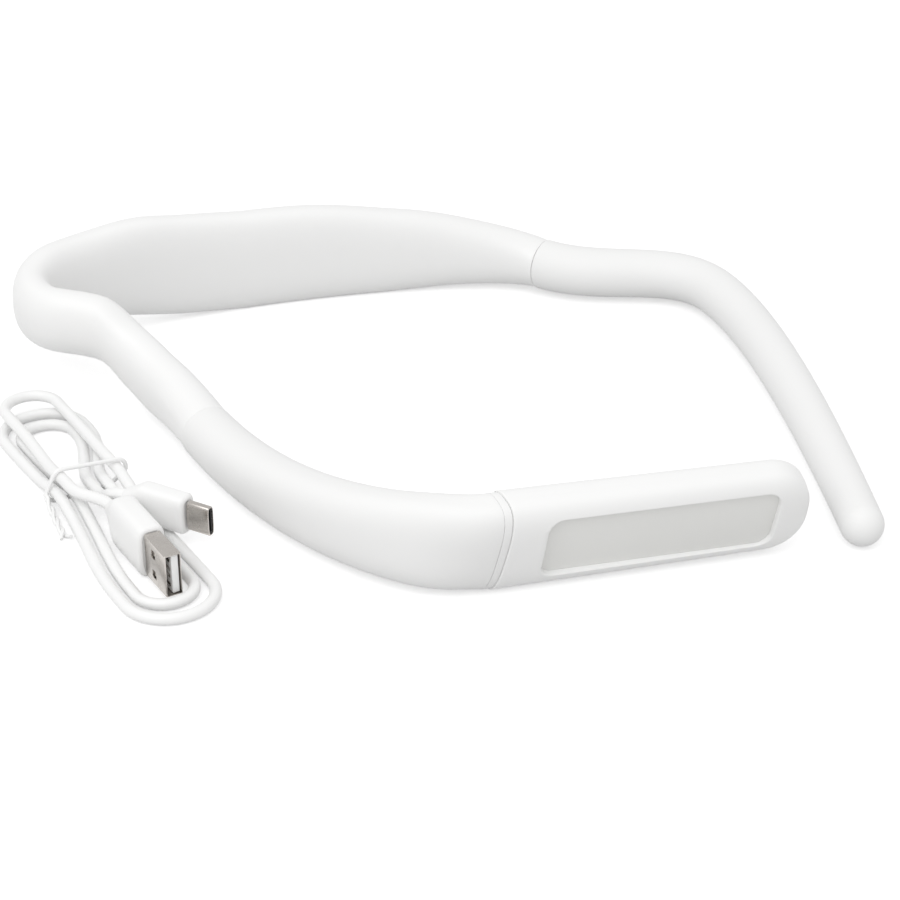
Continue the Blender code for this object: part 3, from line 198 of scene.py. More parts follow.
class CentreLine:  # cubic curves end to end in plan, with a height along them
    def __init__(self, curves, height):
        places = []
        ways = []
        for a, b, c, d in curves:
            for t in np.linspace(0, 1, 200):
                places.append(onCubic(t, a, b, c, d))
                ways.append((1 - t) ** 2 * (b - a) + 2 * t * (1 - t) * (c - b) + t * t * (d - c))
        self.places = np.array(places)
        self.ways = np.array(ways) / np.linalg.norm(ways, axis=1)[:, None]
        walked = np.concatenate([[0], np.cumsum(np.linalg.norm(np.diff(self.places, axis=0), axis=1))])
        self.length = float(walked[-1])
        self.walked = walked / self.length + np.arange(len(walked)) * 1e-9
        self.height = height

    def forward(self, share):
        way = [np.interp(share, self.walked, self.ways[:, k]) for k in (0, 1)]
        return Vector((*way, 0)).normalized()

    def out(self, share):  # level and square to the line, to the right of someone who walks it
        return self.forward(share).cross(up)

    def point(self, share):
        inside = min(max(share, 0), 1)
        x, y = [float(np.interp(inside, self.walked, self.places[:, k])) for k in (0, 1)]
        return Vector((x, y, self.height(inside))) + self.forward(inside) * (share - inside) * self.length

    def axes(self, share):  # X forward, Y inward, Z up
        turn = Matrix((self.forward(share), -self.out(share), up)).transposed().to_4x4()
        return Matrix.Translation(self.point(share)) @ turn


edgeAngles = [math.radians(angle) for angle in (0, 22.5, 45, 67.5, 90)]


def roundedEnd(radius, atStart):  # a rounded edge's setbacks and insets, in sweeping order
    pairs = [(radius * (1 - math.sin(angle)), radius * (1 - math.cos(angle))) for angle in edgeAngles]
    return list(reversed(pairs)) if atStart else pairs


# Materials

def emptyTree(holder):
    holder.use_nodes = True
    holder.node_tree.nodes.clear()
    return holder.node_tree


def addNode(tree, kind, values, **settings):  # the values are plain ones or other nodes' sockets
    made = tree.nodes.new(kind)
    for setting, value in settings.items():
        setattr(made, setting, value)
    for socket, value in values.items():
        if isinstance(value, bpy.types.NodeSocket):
            tree.links.new(value, made.inputs[socket])
        else:
            made.inputs[socket].default_value = value
    return made.outputs


class Sum:  # a socket that does sums with + and *
    def __init__(self, finish, socket):
        self.finish = finish
        self.socket = socket

    def combine(self, operation, first, second):
        return self.finish.node("ShaderNodeMath", {"operation": operation}, {0: first, 1: second})

    def __add__(self, other):
        return self.combine("ADD", self, other)

    def __radd__(self, other):
        return self.combine("ADD", other, self)

    def __mul__(self, other):
        return self.combine("MULTIPLY", self, other)


class Finish:
    def __init__(self, name, colour, roughness, metallic=0.0):
        self.material = bpy.data.materials.new(name)
        self.material.use_nodes = True
        self.tree = self.material.node_tree
        self.shader = self.tree.nodes["Principled BSDF"]
        self.shader.inputs["Base Color"].default_value = (*colour, 1)
        self.shader.inputs["Roughness"].default_value = roughness
        self.shader.inputs["Metallic"].default_value = metallic
        self.places = self.node("ShaderNodeTexCoord", {}, {}, "Object")

    def node(self, kind, settings, values, output=0):
        plain = {name: value.socket if isinstance(value, Sum) else value for name, value in values.items()}
        return Sum(self, addNode(self.tree, kind, plain, **settings)[output])

    def feed(self, socket, value):
        self.tree.links.new(value.socket, self.shader.inputs[socket])

    def noise(self, scale, detail=3.0):
        values = {"Vector": self.places, "Scale": scale, "Detail": detail, "Roughness": 0.55}
        return self.node("ShaderNodeTexNoise", {}, values)

    def streaks(self, scale, stretch):  # noise drawn out along the piece's own X, Y or Z
        pulled = self.node("ShaderNodeMapping", {}, {"Vector": self.places, "Scale": stretch})
        return self.node("ShaderNodeTexNoise", {}, {"Vector": pulled, "Scale": scale, "Detail": 2.0})

    def mixed(self, share, first, second):  # a colour between two, by the node's colour sockets
        values = {0: share, 6: (*first, 1), 7: (*second, 1)}
        return self.node("ShaderNodeMix", {"data_type": "RGBA"}, values, 2)

    def bump(self, height, strength, distance):
        values = {"Strength": strength, "Distance": distance, "Height": height}
        self.feed("Normal", self.node("ShaderNodeBump", {}, values))


materialValues = {
    "plasticWhite": (0.925, 0.925, 0.92),
    "plasticShade": (0.905, 0.905, 0.90),
    "siliconeWhite": (0.905, 0.905, 0.90),
    "siliconeShade": (0.88, 0.88, 0.875),
    "cableWhite": (0.94, 0.94, 0.935),
    "cableShade": (0.92, 0.92, 0.915),
    "panelGrey": (0.86, 0.86, 0.84),
    "panelShade": (0.82, 0.82, 0.80),
    "nickel": (0.64, 0.61, 0.58),
    "nickelShade": (0.50, 0.47, 0.44),
    "steel": (0.58, 0.58, 0.57),
    "black": (0.02, 0.02, 0.022),
    "boardGreen": (0.03, 0.2, 0.08),
    "trackGreen": (0.06, 0.3, 0.12),
    "foil": (0.55, 0.56, 0.58),
    "foamGrey": (0.25, 0.25, 0.25),
    "foamDark": (0.2, 0.2, 0.2),
    "foamLight": (0.32, 0.32, 0.32),
    "clear": (0.86, 0.88, 0.88),
}


softValues = {
    "plastic": {
        "name": "satinPlastic",
        "roughness": (0.42, 0.36, 0.12),  # by itself, under the clouds, and how much they add
        "cloud": (60.0, 0.6),
        "grain": (2600.0, 0.12, 0.00004),
    },
    "silicone": {
        "name": "mattSilicone",
        "roughness": (0.58, 0.52, 0.14),
        "cloud": (45.0, 0.6),
        "grain": (3200.0, 0.15, 0.00004),
    },
    "cable": {
        "name": "cableJacket",
        "roughness": (0.4, 0.34, 0.14),
        "cloud": (150.0, 0.7),
        "grain": (1800.0, 0.12, 0.00005),
    },
}


def makeFinishes():
    colour = materialValues
    finishes = {}

    for look, values in softValues.items():
        white, shade = colour[look + "White"], colour[look + "Shade"]
        alone, under, added = values["roughness"]
        scale, share = values["cloud"]
        grainScale, strength, distance = values["grain"]
        soft = Finish(values["name"], white, alone)
        cloud = soft.noise(scale)
        soft.feed("Base Color", soft.mixed(cloud * share, white, shade))
        soft.feed("Roughness", under + cloud * added)
        soft.bump(soft.noise(grainScale, 2.0), strength, distance)
        finishes[look] = soft.material

    panel = Finish("frostedPanel", colour["panelGrey"], 0.45)
    cloud = panel.noise(25.0, 1.0)
    speck = panel.noise(5200.0, 1.0)
    panel.feed("Base Color", panel.mixed(cloud, colour["panelGrey"], colour["panelShade"]))
    panel.feed("Roughness", 0.38 + speck * 0.16)
    panel.bump(speck, 0.2, 0.00003)
    finishes["panel"] = panel.material

    nickel = Finish("nickelPlate", colour["nickel"], 0.24, 1.0)
    drawn = nickel.streaks(700.0, (1.0, 1.0, 9.0))
    cloud = nickel.noise(260.0, 3.0)
    nickel.feed("Base Color", nickel.mixed(cloud, colour["nickel"], colour["nickelShade"]))
    nickel.feed("Roughness", 0.16 + drawn * 0.14 + cloud * 0.06)
    nickel.bump(drawn, 0.1, 0.00003)
    finishes["nickel"] = nickel.material

    steel = Finish("drawnSteel", colour["steel"], 0.32, 1.0)
    drawn = steel.streaks(900.0, (8.0, 8.0, 1.0))
    steel.feed("Roughness", 0.24 + drawn * 0.2)
    steel.bump(drawn, 0.2, 0.00004)
    finishes["steel"] = steel.material

    black = Finish("blackPlastic", colour["black"], 0.4)
    black.feed("Roughness", 0.32 + black.noise(900.0) * 0.2)
    finishes["black"] = black.material

    board = Finish("greenBoard", colour["boardGreen"], 0.35)
    tiles = {"Vector": board.places, "Scale": 160.0, "Mortar Size": 0.03}
    tracks = board.node("ShaderNodeTexBrick", {}, tiles, "Fac")
    board.feed("Base Color", board.mixed(tracks, colour["boardGreen"], colour["trackGreen"]))
    board.feed("Roughness", 0.3 + tracks * 0.2)
    finishes["board"] = board.material

    foil = Finish("cellFoil", colour["foil"], 0.35, 0.6)
    crease = foil.noise(220.0, 4.0)
    foil.feed("Roughness", 0.25 + crease * 0.25)
    foil.bump(crease, 0.4, 0.0002)
    finishes["foil"] = foil.material

    foam = Finish("greyFoam", colour["foamGrey"], 0.95)
    cells = foam.noise(2400.0, 2.0)
    foam.feed("Base Color", foam.mixed(cells, colour["foamDark"], colour["foamLight"]))
    foam.bump(cells, 0.6, 0.0003)
    finishes["foam"] = foam.material

    clear = Finish("clearPlastic", colour["clear"], 0.12)
    clear.feed("Roughness", 0.08 + clear.noise(800.0) * 0.1)
    finishes["clear"] = clear.material

    tie = Finish("coatedTie", colour["cableWhite"], 0.3)
    tie.feed("Roughness", 0.24 + tie.noise(700.0) * 0.14)
    finishes["tie"] = tie.material
    return finishes


finishes = makeFinishes()


def dress(piece, look, body=None, replaced=()):
    piece.data.materials.clear()
    piece.data.materials.append(finishes[look])
    if replaced:
        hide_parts(*replaced)
    if body:
        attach(piece, body)
    return piece


# Camera, floor and light

viewValues = {
    "place": (-465.4 * mm, -496.4 * mm, 326.2 * mm),
    "forward": (0.6566, 0.5765, -0.4864),
    "lens": 96.57,
    "sensor": 36,
    "floorSize": 8,
    "floorColour": (0.62, 0.62, 0.62),
    "floorGlow": 0.55,
    "skyStrength": 0.98,
    "keyPlace": (-0.95, -0.35, 1.25),
    "keySize": 1.2,
    "keyPower": 8.5,
}


def seenDirectly(tree):  # 1 on rays from the camera, a mirror or glass, and 0 on scattered light
    rays = addNode(tree, "ShaderNodeLightPath", {})
    glassy = {0: rays["Is Glossy Ray"], 1: rays["Is Transmission Ray"]}
    either = addNode(tree, "ShaderNodeMath", glassy, operation="MAXIMUM")[0]
    direct = {0: rays["Is Camera Ray"], 1: either}
    return addNode(tree, "ShaderNodeMath", direct, operation="MAXIMUM")[0]


def makeStage():
    values = viewValues
    turn = Vector(values["forward"]).to_track_quat("-Z", "Y").to_euler()
    bpy.ops.object.camera_add(location=values["place"], rotation=turn)
    camera = bpy.context.object
    camera.data.sensor_width = values["sensor"]
    camera.data.lens = values["lens"]
    camera.data.clip_start = 0.01
    bpy.context.scene.camera = camera

    clearSelection()
    bpy.ops.mesh.primitive_plane_add(size=values["floorSize"])
    floor = named("floor")
    paper = bpy.data.materials.new("paperFloor")
    tree = emptyTree(paper)
    matt = addNode(tree, "ShaderNodeBsdfDiffuse", {"Color": (*values["floorColour"], 1)})[0]
    share = {0: seenDirectly(tree), 1: values["floorGlow"]}
    level = addNode(tree, "ShaderNodeMath", share, operation="MULTIPLY")[0]
    glow = addNode(tree, "ShaderNodeEmission", {"Strength": level})[0]
    both = addNode(tree, "ShaderNodeAddShader", {0: matt, 1: glow})[0]
    addNode(tree, "ShaderNodeOutputMaterial", {"Surface": both})
    floor.data.materials.append(paper)

    sky = bpy.data.worlds.new("studio")
    bpy.context.scene.world = sky
    tree = emptyTree(sky)
    soft = addNode(tree, "ShaderNodeBackground", {"Strength": values["skyStrength"]})[0]
    white = addNode(tree, "ShaderNodeBackground", {})[0]
    both = addNode(tree, "ShaderNodeMixShader", {0: seenDirectly(tree), 1: soft, 2: white})[0]
    addNode(tree, "ShaderNodeOutputWorld", {"Surface": both})

    clearSelection()
    bpy.ops.object.light_add(type="AREA", location=values["keyPlace"])
    key = bpy.context.object
    key.name = "keyLight"
    key.data.shape = "SQUARE"
    key.data.size = values["keySize"]
    key.data.energy = values["keyPower"]
    key.rotation_euler = (-Vector(values["keyPlace"])).to_track_quat("-Z", "Y").to_euler()
    bpy.context.scene.view_settings.view_transform = "Standard"


makeStage()
print("stage: camera, floor and light")


# Charging cable: U runs up the hank, V to its right

cableValues = {
    "diameter": 3.2 * mm,
    "tie": (-109.6 * mm, -54.7 * mm),
    "heading": math.radians(18.6),
    "reaches": [reach * mm for reach in (42, 61, 49, 68, 54)],  # for each half turn, upwards first
    "foldRadii": [radius * mm for radius in (7.6, 7.6, 11.7, 11.7, 7.6)],
    "waists": [v * mm for v in (1.9, -3.75, 6, -7.85, 10.1, -5.8)],
    "upper": (3 * mm, 34 * mm),  # V of the folds' middle, and how far up the strands are fully apart
    "lower": (-1.5 * mm, 50 * mm),
    "climb": (47 / 24, 2 / 24),  # where the last strand climbs onto the others, in turns
    "layer": 3.8 * mm,
    "foldShare": 0.5,
    "lift": 1.8 * mm,
    "liftLength": 15 * mm,
    "tableGap": 0.05 * mm,
    "tieRadius": 0.6 * mm,
    "tieFromWaist": 2.5 * mm,
    "tieArcPoints": 12,
    "tieTail": 20 * mm,
    "tieTwist": 4 * math.pi,
    "tieFall": 2.2 * mm,  # of the tails to the table, and to the left
    "tieTailPoints": 90,
    "routePoints": 240,
    "leadPoints": 14,
    "leadHandleShare": 0.4,
}
usbAValues = {
    "tail": (-19 * mm, -0.5 * mm, 7.5 * mm),
    "heading": 0,
    "length": 26 * mm,
    "tailLength": 9 * mm,
    "halfThickness": 3.9 * mm,
    "halfWidth": 7.2 * mm,
    "shell": (12.5 * mm, 4.5 * mm, 12 * mm),
    "tongue": 1.9 * mm,
    "latch": (5.5 * mm, 2.9 * mm, 2.3 * mm),
    "spring": (0.3, 0.35),  # reach and half height, in hole sizes
    "springDepths": (0.25 * mm, 0.1 * mm),
    "contacts": (-3.5 * mm, -1 * mm, 1 * mm, 3.5 * mm),
    "contactRun": (8.5 * mm, 1.4 * mm),  # from the mouth
    "contactWidth": 1.0 * mm,
}
usbCValues = {
    "tail": (-18 * mm, 4 * mm, 9.25 * mm),
    "heading": math.radians(30),
    "length": 20 * mm,
    "tailLength": 7 * mm,
    "halfThickness": 3.2 * mm,
    "halfWidth": 5.4 * mm,
    "shell": (6.7 * mm, 2.56 * mm, 8.34 * mm),
    "slot": 0.8 * mm,
}
overmouldValues = {
    "tailRadius": 2.3 * mm,
    "tailRings": 12,
    "tailRounding": 0.5 * mm,
    "edge": 1.1 * mm,
    "dish": ((0, 1.25 * mm), (0.25 * mm, 1.4 * mm)),  # depths and insets round the shell
    "power": 4,
    "count": 48,
}
plugWall = 0.35 * mm
hankUp = Vector((math.sin(cableValues["heading"]), math.cos(cableValues["heading"]), 0))
hankRight = hankUp.cross(up)


def onHank(u, v, height):
    place = Vector((*cableValues["tie"], 0)) + hankUp * u + hankRight * v
    place.z = height
    return place


def hankPlace(turns):  # U, V and height, from the waist's right side and up
    values = cableValues
    half = min(int(turns * 2), len(values["reaches"]) - 1)
    step = turns * 2 - half
    way = 1 if half % 2 == 0 else -1
    middle, spread = values["upper" if way > 0 else "lower"]
    radius = values["foldRadii"][half]
    reach = values["reaches"][half] - radius
    run = (1 - values["foldShare"]) / 2
    fromWaist = min(step, 1 - step) / run
    if fromWaist < 1:
        first = step < 0.5
        waist = values["waists"][half if first else half + 1]
        edge = middle + (way if first else -way) * radius
        u = way * reach * fromWaist
        v = waist + (edge - waist) * (1 - math.cos(math.pi * min(abs(u) / spread, 1))) / 2
    else:
        angle = math.pi * (step - run) / values["foldShare"]
        u = way * (reach + radius * math.sin(angle))
        v = middle + way * radius * math.cos(angle)
    lift = values["lift"] * (1 - ease(abs(u) / values["liftLength"]))
    climbFrom, climbLength = values["climb"]
    height = values["diameter"] / 2 + values["tableGap"] + lift
    return u, v, height + values["layer"] * ease((turns - climbFrom) / climbLength)


def strandAtTie(half, end):  # V and height of a half turn's first or second strand at the tie
    values = cableValues
    reach = values["reaches"][half] - values["foldRadii"][half]
    step = values["tieFromWaist"] / reach * (1 - values["foldShare"]) / 2
    return np.array(hankPlace((half + (1 - step if end else step)) / 2)[1:])


def plugAxes(values):
    heading = values["heading"]
    forward = -hankUp * math.cos(heading) + hankRight * math.sin(heading)
    return onHank(*values["tail"]), forward, forward.cross(up)


def bentLine(start, startWay, end, endWay):  # leaves and meets two faces squarely
    reach = (end - start).length * cableValues["leadHandleShare"]
    points = []
    for t in map(float, np.linspace(0, 1, cableValues["leadPoints"])):
        point = (1 - t) ** 3 * start + 3 * t * (1 - t) ** 2 * (start + startWay * reach)
        point += 3 * t * t * (1 - t) * (end - endWay * reach) + t ** 3 * end
        points.append(point)
    return points


def lineCurve(name, points, radius, rounds, cyclic=False):
    line = bpy.data.curves.new(name, "CURVE")
    line.dimensions = "3D"
    line.bevel_depth = radius
    line.bevel_resolution = rounds
    line.use_fill_caps = True
    run = line.splines.new("POLY")
    run.points.add(len(points) - 1)
    for control, point in zip(run.points, points):
        control.co = (*point, 1)
    run.use_cyclic_u = cyclic
    run.use_smooth = True
    piece = bpy.data.objects.new(name, line)
    bpy.context.scene.collection.objects.link(piece)
    return piece


def cableRoute():
    values = cableValues
    turns = len(values["reaches"]) / 2
    count = values["routePoints"]
    hank = [onHank(*hankPlace(turns * k / count)) for k in range(count + 1)]
    tailC, wayC = plugAxes(usbCValues)[:2]
    tailA, wayA = plugAxes(usbAValues)[:2]
    step = hankUp * values["diameter"]
    leadC = bentLine(tailC, -wayC, hank[0] - step, hankUp)
    leadA = bentLine(hank[-1] - step, -hankUp, tailA, wayA)
    return leadC + hank + leadA


def ovalRings(values, stations, sizes, power=4):  # round a plug's axis, from places along it and insets
    tail, forward, out = plugAxes(values)
    rings = []
    for along, inset in stations:
        place = tail + forward * along
        half = (sizes[0] - inset, sizes[1] - inset)
        rings.append(crossSection(place, out, up, *half, power, overmouldValues["count"]))
    return rings


def overmould(name, plug):
    values = overmouldValues
    full = (plug["halfThickness"], plug["halfWidth"])
    length = plug["length"]
    radius = values["tailRadius"]
    count = values["tailRings"]
    rings = []
    for share in np.linspace(0, 1, count):
        swell = ease(share)
        inset = values["tailRounding"] * max(0, 1 - share * (count - 1))
        sizes = [radius + (half - radius) * swell for half in full]
        rings += ovalRings(plug, [(plug["tailLength"] * share, inset)], sizes, 2 + 2 * swell)
    stations = [(length - setback, inset) for setback, inset in roundedEnd(values["edge"], False)]
    stations += [(length - depth, inset) for depth, inset in values["dish"]]
    return sweepRings(name, rings + ovalRings(plug, stations, full))


def plugPlace(values):  # X to the mouth, Y to the left of it, Z up, from the tail
    tail, forward, out = plugAxes(values)
    return Matrix.Translation(tail) @ Matrix((forward, -out, up)).transposed().to_4x4()


def makeUsbA():
    values = usbAValues
    place = plugPlace(values)
    start = values["length"] + fit
    length, thickness, width = values["shell"]
    end = start + length
    halfThick = thickness / 2
    halfWide = width / 2
    low = (start, -halfThick, -halfWide)
    shell = roundedBlock("usbAShellSkin", low, (end, halfThick, halfWide), place, 0.3 * mm)
    low = (start + plugWall, -halfThick + plugWall, -halfWide + plugWall)
    high = (end + fit, halfThick - plugWall, halfWide - plugWall)
    tools = [roundedBlock("shellHollow", low, high, place, 0.15 * mm)]
    along, offset, size = values["latch"]
    for height in (-offset, offset):
        low = (start + along - size / 2, -width, height - size / 2)
        high = (start + along + size / 2, width, height + size / 2)
        tools.append(roundedBlock("latchHole", low, high, place, 0.1 * mm, 1))
    carve(shell, *tools)
    dress(smoothSides(shell), "nickel", "housing", ["usb_a_shell"])

    springs = []
    reach, half = values["spring"]
    depths = [halfThick - plugWall - depth for depth in values["springDepths"]]
    for side in (-1, 1):  # bent springs behind the latch holes
        near, far = sorted(side * depth for depth in depths)
        for height in (-offset, offset):
            low = (start + along - size, near, height - size * half)
            high = (start + along + size * reach, far, height + size * half)
            springs.append(roundedBlock("latchSpring", low, high, place, 0.03 * mm, 1))
    joined(springs)
    latches = dress(named("usbALatchSprings"), "nickel", "housing")

    lining = plugWall + fit
    low = (start + lining, halfThick - lining - values["tongue"], -halfWide + lining)
    high = (end - 0.4 * mm, halfThick - lining, halfWide - lining)
    tongue = roundedBlock("usbATongueBlock", low, high, place, 0.2 * mm)
    contacts = []
    back, front = values["contactRun"]
    for offset in values["contacts"]:
        near = (end - back, low[1] - 0.06 * mm, offset - values["contactWidth"] / 2)
        far = (end - front, low[1] + 0.1 * mm, offset + values["contactWidth"] / 2)
        contacts.append(roundedBlock("contact", near, far, place, 0.03 * mm, 1))
    joined(contacts)
    strips = dress(named("usbAContacts"), "nickel", "housing")
    return [shell, latches, dress(tongue, "plastic", "housing", ["usb_a_tongue"]), strips]


def makeUsbC():
    values = usbCValues
    start = values["length"] + fit
    length, thickness, width = values["shell"]
    end = start + length
    outer = (thickness / 2, width / 2)
    inner = (outer[0] - plugWall, outer[1] - plugWall)
    skin = (
        (start, 0.1 * mm),
        (start + 0.1 * mm, 0),
        (end - 0.2 * mm, 0),
        (end - 0.06 * mm, 0.06 * mm),
        (end, 0.18 * mm),
        (end, plugWall),
        (start + plugWall, plugWall),
    )
    shell = sweepRings("usbCShellSkin", ovalRings(values, skin, outer))
    dress(shell, "nickel", "housing", ["usb_c_shell"])
    lining = (inner[0] - 0.02 * mm, inner[1] - 0.02 * mm)
    block = ((start + plugWall + fit, 0), (end - 0.35 * mm, 0))
    insert = sweepRings("usbCInsertBlock", ovalRings(values, block, lining))
    low = (start + 1.2 * mm, -values["slot"] / 2, -lining[1] + 0.6 * mm)
    high = (end + 1 * mm, values["slot"] / 2, lining[1] - 0.6 * mm)
    carve(insert, roundedBlock("insertSlot", low, high, plugPlace(values), 0.1 * mm, 1))
    return [shell, dress(smoothSides(insert), "black", "housing", ["usb_c_insert"])]


def makeTie():
    values = cableValues
    # the outer strands, counterclockwise seen down the hank
    corners = [strandAtTie(half, end) for half, end in ((2, False), (4, False), (4, True), (2, True))]
    away = values["diameter"] / 2 + fit + values["tieRadius"]
    loop = []
    for before, corner, after in zip(corners[-1:] + corners, corners, corners[1:] + corners[:1]):
        a, b = corner - before, after - corner
        fromAngle = math.atan2(-a[0], a[1])
        toAngle = math.atan2(-b[0], b[1])
        while toAngle < fromAngle:
            toAngle += 2 * math.pi
        for angle in np.linspace(fromAngle, toAngle, values["tieArcPoints"]):
            v, height = corner + away * np.array((math.cos(angle), math.sin(angle)))
            loop.append(onHank(values["tieFromWaist"], v, height))
    band = lineCurve("tieBand", loop, values["tieRadius"], 4, True)
    dress(band, "tie", "housing", ["cable_tie"])
    # its two ends are twisted together and lie down the left side
    wire = values["tieRadius"] * 0.85
    fall = values["tieFall"]
    tails = []
    for number, turn in enumerate((0, math.pi), 1):
        points = []
        for t in map(float, np.linspace(0, 1, values["tieTailPoints"])):
            angle = turn + values["tieTwist"] * t
            apart = wire * (ease(t * 8) + 1.6 * ease((t - 0.8) / 0.2))  # the ends part again
            u = values["tieFromWaist"] - values["tieTail"] * t
            v = corners[-1][0] - away - wire - fall * ease(t)
            height = 2.05 * wire + fall * (1 - ease(t * 3))
            points.append(onHank(u, v + apart * math.cos(angle), height + wire * math.sin(angle)))
        tails.append(lineCurve("tieTail%d" % number, points, wire, 4))
    return [band] + [dress(tail, "tie", "housing") for tail in tails]


def makeCable():
    values = cableValues
    route = cableRoute()
    jacket = lineCurve("cableJacket", route, values["diameter"] / 2, 7)
    dress(jacket, "cable", "housing", ["cable_hank", "lead_usb_a", "lead_usb_c"])
    length = sum((b - a).length for a, b in zip(route, route[1:]))
    grips = [
        dress(overmould("usbAGrip", usbAValues), "cable", "housing", ["usb_a_overmould"]),
        dress(overmould("usbCGrip", usbCValues), "cable", "housing", ["usb_c_overmould"]),
    ]
    pieces = grips + makeUsbA() + makeUsbC() + makeTie()
    print("cable: %.3f m" % length)


makeCable()


# Housing

housingValues = {
    "halfSpan": 72.6 * mm,
    "bandDepth": 63 * mm,
    "rootRadius": 7.5 * mm,
    "halfHeight": 15.9 * mm,
    "neckLift": 13.7 * mm,
    "restCut": 0.25 * mm,
    "restFade": 1 * mm,
    "tallStep": 8 * mm,
    "wall": 1.6 * mm,
    "ringCount": 60,
    "stations": 150,
    "edge": 0.35 * mm,
}
coverValues = {
    "from": 0.405,
    "to": 0.885,
    "heightShare": 0.70,
    "thickness": 1.2 * mm,
    "edge": 0.3 * mm,
    "corner": 4 * mm,
    "screwInset": 4.7 * mm,
    "screwHead": (1.6 * mm, 0.7 * mm),
    "screwShank": (0.8 * mm, 4 * mm),
}
roomValues = {
    "cells": (0.510, 0.656),
    "cell": (33 * mm, 20 * mm),
    "cellDepth": 5.5 * mm,
    "cellWayIn": (24 * mm, 12 * mm),
    "board": 0.795,
    "boardSize": (24 * mm, -11.2 * mm, 5 * mm),
    "boardFace": -0.7 * mm,
    "port": (8.9 * mm, 3.2 * mm, 7.3 * mm),
    "portRecess": 0.8 * mm,
    "pipeRadius": 1 * mm,
    "pipeRise": 2.5 * mm,
    "ferrule": 4.6 * mm,
    "boreDepth": (8 * mm, 11 * mm),
}


def inPlan(spanShare, depthShare):
    return np.array((spanShare * housingValues["halfSpan"], (depthShare - 1) * housingValues["bandDepth"]))


lampSideShares = ((-1, 0), (-0.719, 0.865), (-1.051, 0.816), (-1.011, 1.054))
plainSideShares = ((-1.011, 1.054), (-0.880, 1.840), (0.949, 0.473), (1, 0))
housingCurves = [[inPlan(*shares) for shares in side] for side in (lampSideShares, plainSideShares)]
rootRadius = housingValues["rootRadius"]


def scaled(size, *shares):
    return [share * size for share in shares]


tallHeights = scaled(housingValues["halfHeight"], 0.60, 0.60, 0.76, 1.0, 0.975, 0.83, 0.635)
halfHeightAt = throughKnots(
    (0, 0.13, 0.26, 0.38, 0.52, 0.68, 0.82, 0.92, 1),
    [rootRadius, *tallHeights, rootRadius],
)
halfThicknessAt = throughKnots((0, 0.2, 0.55, 0.85, 1), scaled(rootRadius, 1, 0.82, 0.75, 0.88, 1))
lampSideLift = throughKnots(
    (0, 0.1, 0.15, 0.2, 0.25, 0.35, 0.45, 0.55, 0.62),
    scaled(housingValues["neckLift"], 0.06, 0.12, 0.40, 0.92, 1, 0.87, 0.44, 0.09, 0),
)
plainSideLift = throughKnots((0.62, 0.78, 0.9, 1), scaled(housingValues["neckLift"], 0, 0, 0.07, 0.095))


def undersideAt(share):
    lift = lampSideLift(share) if share < 0.62 else plainSideLift(share)
    return lift - housingValues["restCut"] * ease(1 - lift / housingValues["restFade"])


def squareAt(share):
    return 2 + min((halfHeightAt(share) - rootRadius) / housingValues["tallStep"], 1)


housingLine = CentreLine(housingCurves, lambda share: halfHeightAt(share) + undersideAt(share))


def housingRing(share, inset=0.0):
    ring = crossSection(
        housingLine.point(share),
        housingLine.out(share),
        up,
        halfThicknessAt(share) - inset,
        halfHeightAt(share) - inset,
        squareAt(share),
        housingValues["ringCount"],
    )
    for point in ring:
        point.z = max(point.z, 0)
    return ring


def onBack(share, upward, inward):  # a point so far above the centre and so far inside the back face
    power = squareAt(share)
    bulge = (1 - abs(upward / halfHeightAt(share)) ** power) ** (1 / power)
    place = housingLine.point(share) - housingLine.out(share) * (halfThicknessAt(share) * bulge - inward)
    place.z += upward
    return place


def coverSlab(name, spread, outer, inner, edge):
    values = coverValues
    margin = spread / housingLine.length
    start = values["from"] - margin
    end = values["to"] + margin
    corner = values["corner"] + spread
    cornerShare = corner / housingLine.length
    bow = [1 - math.cos(angle) for angle in np.linspace(0.02, math.pi / 2, 10)]
    shares = [start + cornerShare * b for b in bow]
    shares += list(np.linspace(shares[-1], end - cornerShare, 60))[1:]
    shares += [end - cornerShare * b for b in reversed(bow[:-1])]
    rings = []
    for share in shares:
        near = min(share - start, end - share, cornerShare) / cornerShare
        loss = corner * (1 - math.sqrt(max(0, 1 - (1 - near) ** 2)))
        reach = halfHeightAt(share) * values["heightShare"] + spread - loss
        levels = np.linspace(-reach, reach, 17)
        flat = np.linspace(-reach + edge, reach - edge, 17)
        ring = [onBack(share, height, outer) for height in flat]
        if edge:
            ring.append(onBack(share, reach, outer + edge))
        ring += [onBack(share, height, inner) for height in reversed(levels)]
        if edge:
            ring.append(onBack(share, -reach, outer + edge))
        rings.append(ring)
    return sweepRings(name, rings)


def cylinderTool(name, place, axis, radius, low, high):
    return sweepRings(name, turnedRings(place, axis, ((radius, low), (radius, high)), 32))


def boxOnLine(name, share, low, high, rounding=0.0):
    return roundedBlock(name, low, high, housingLine.axes(share), rounding)


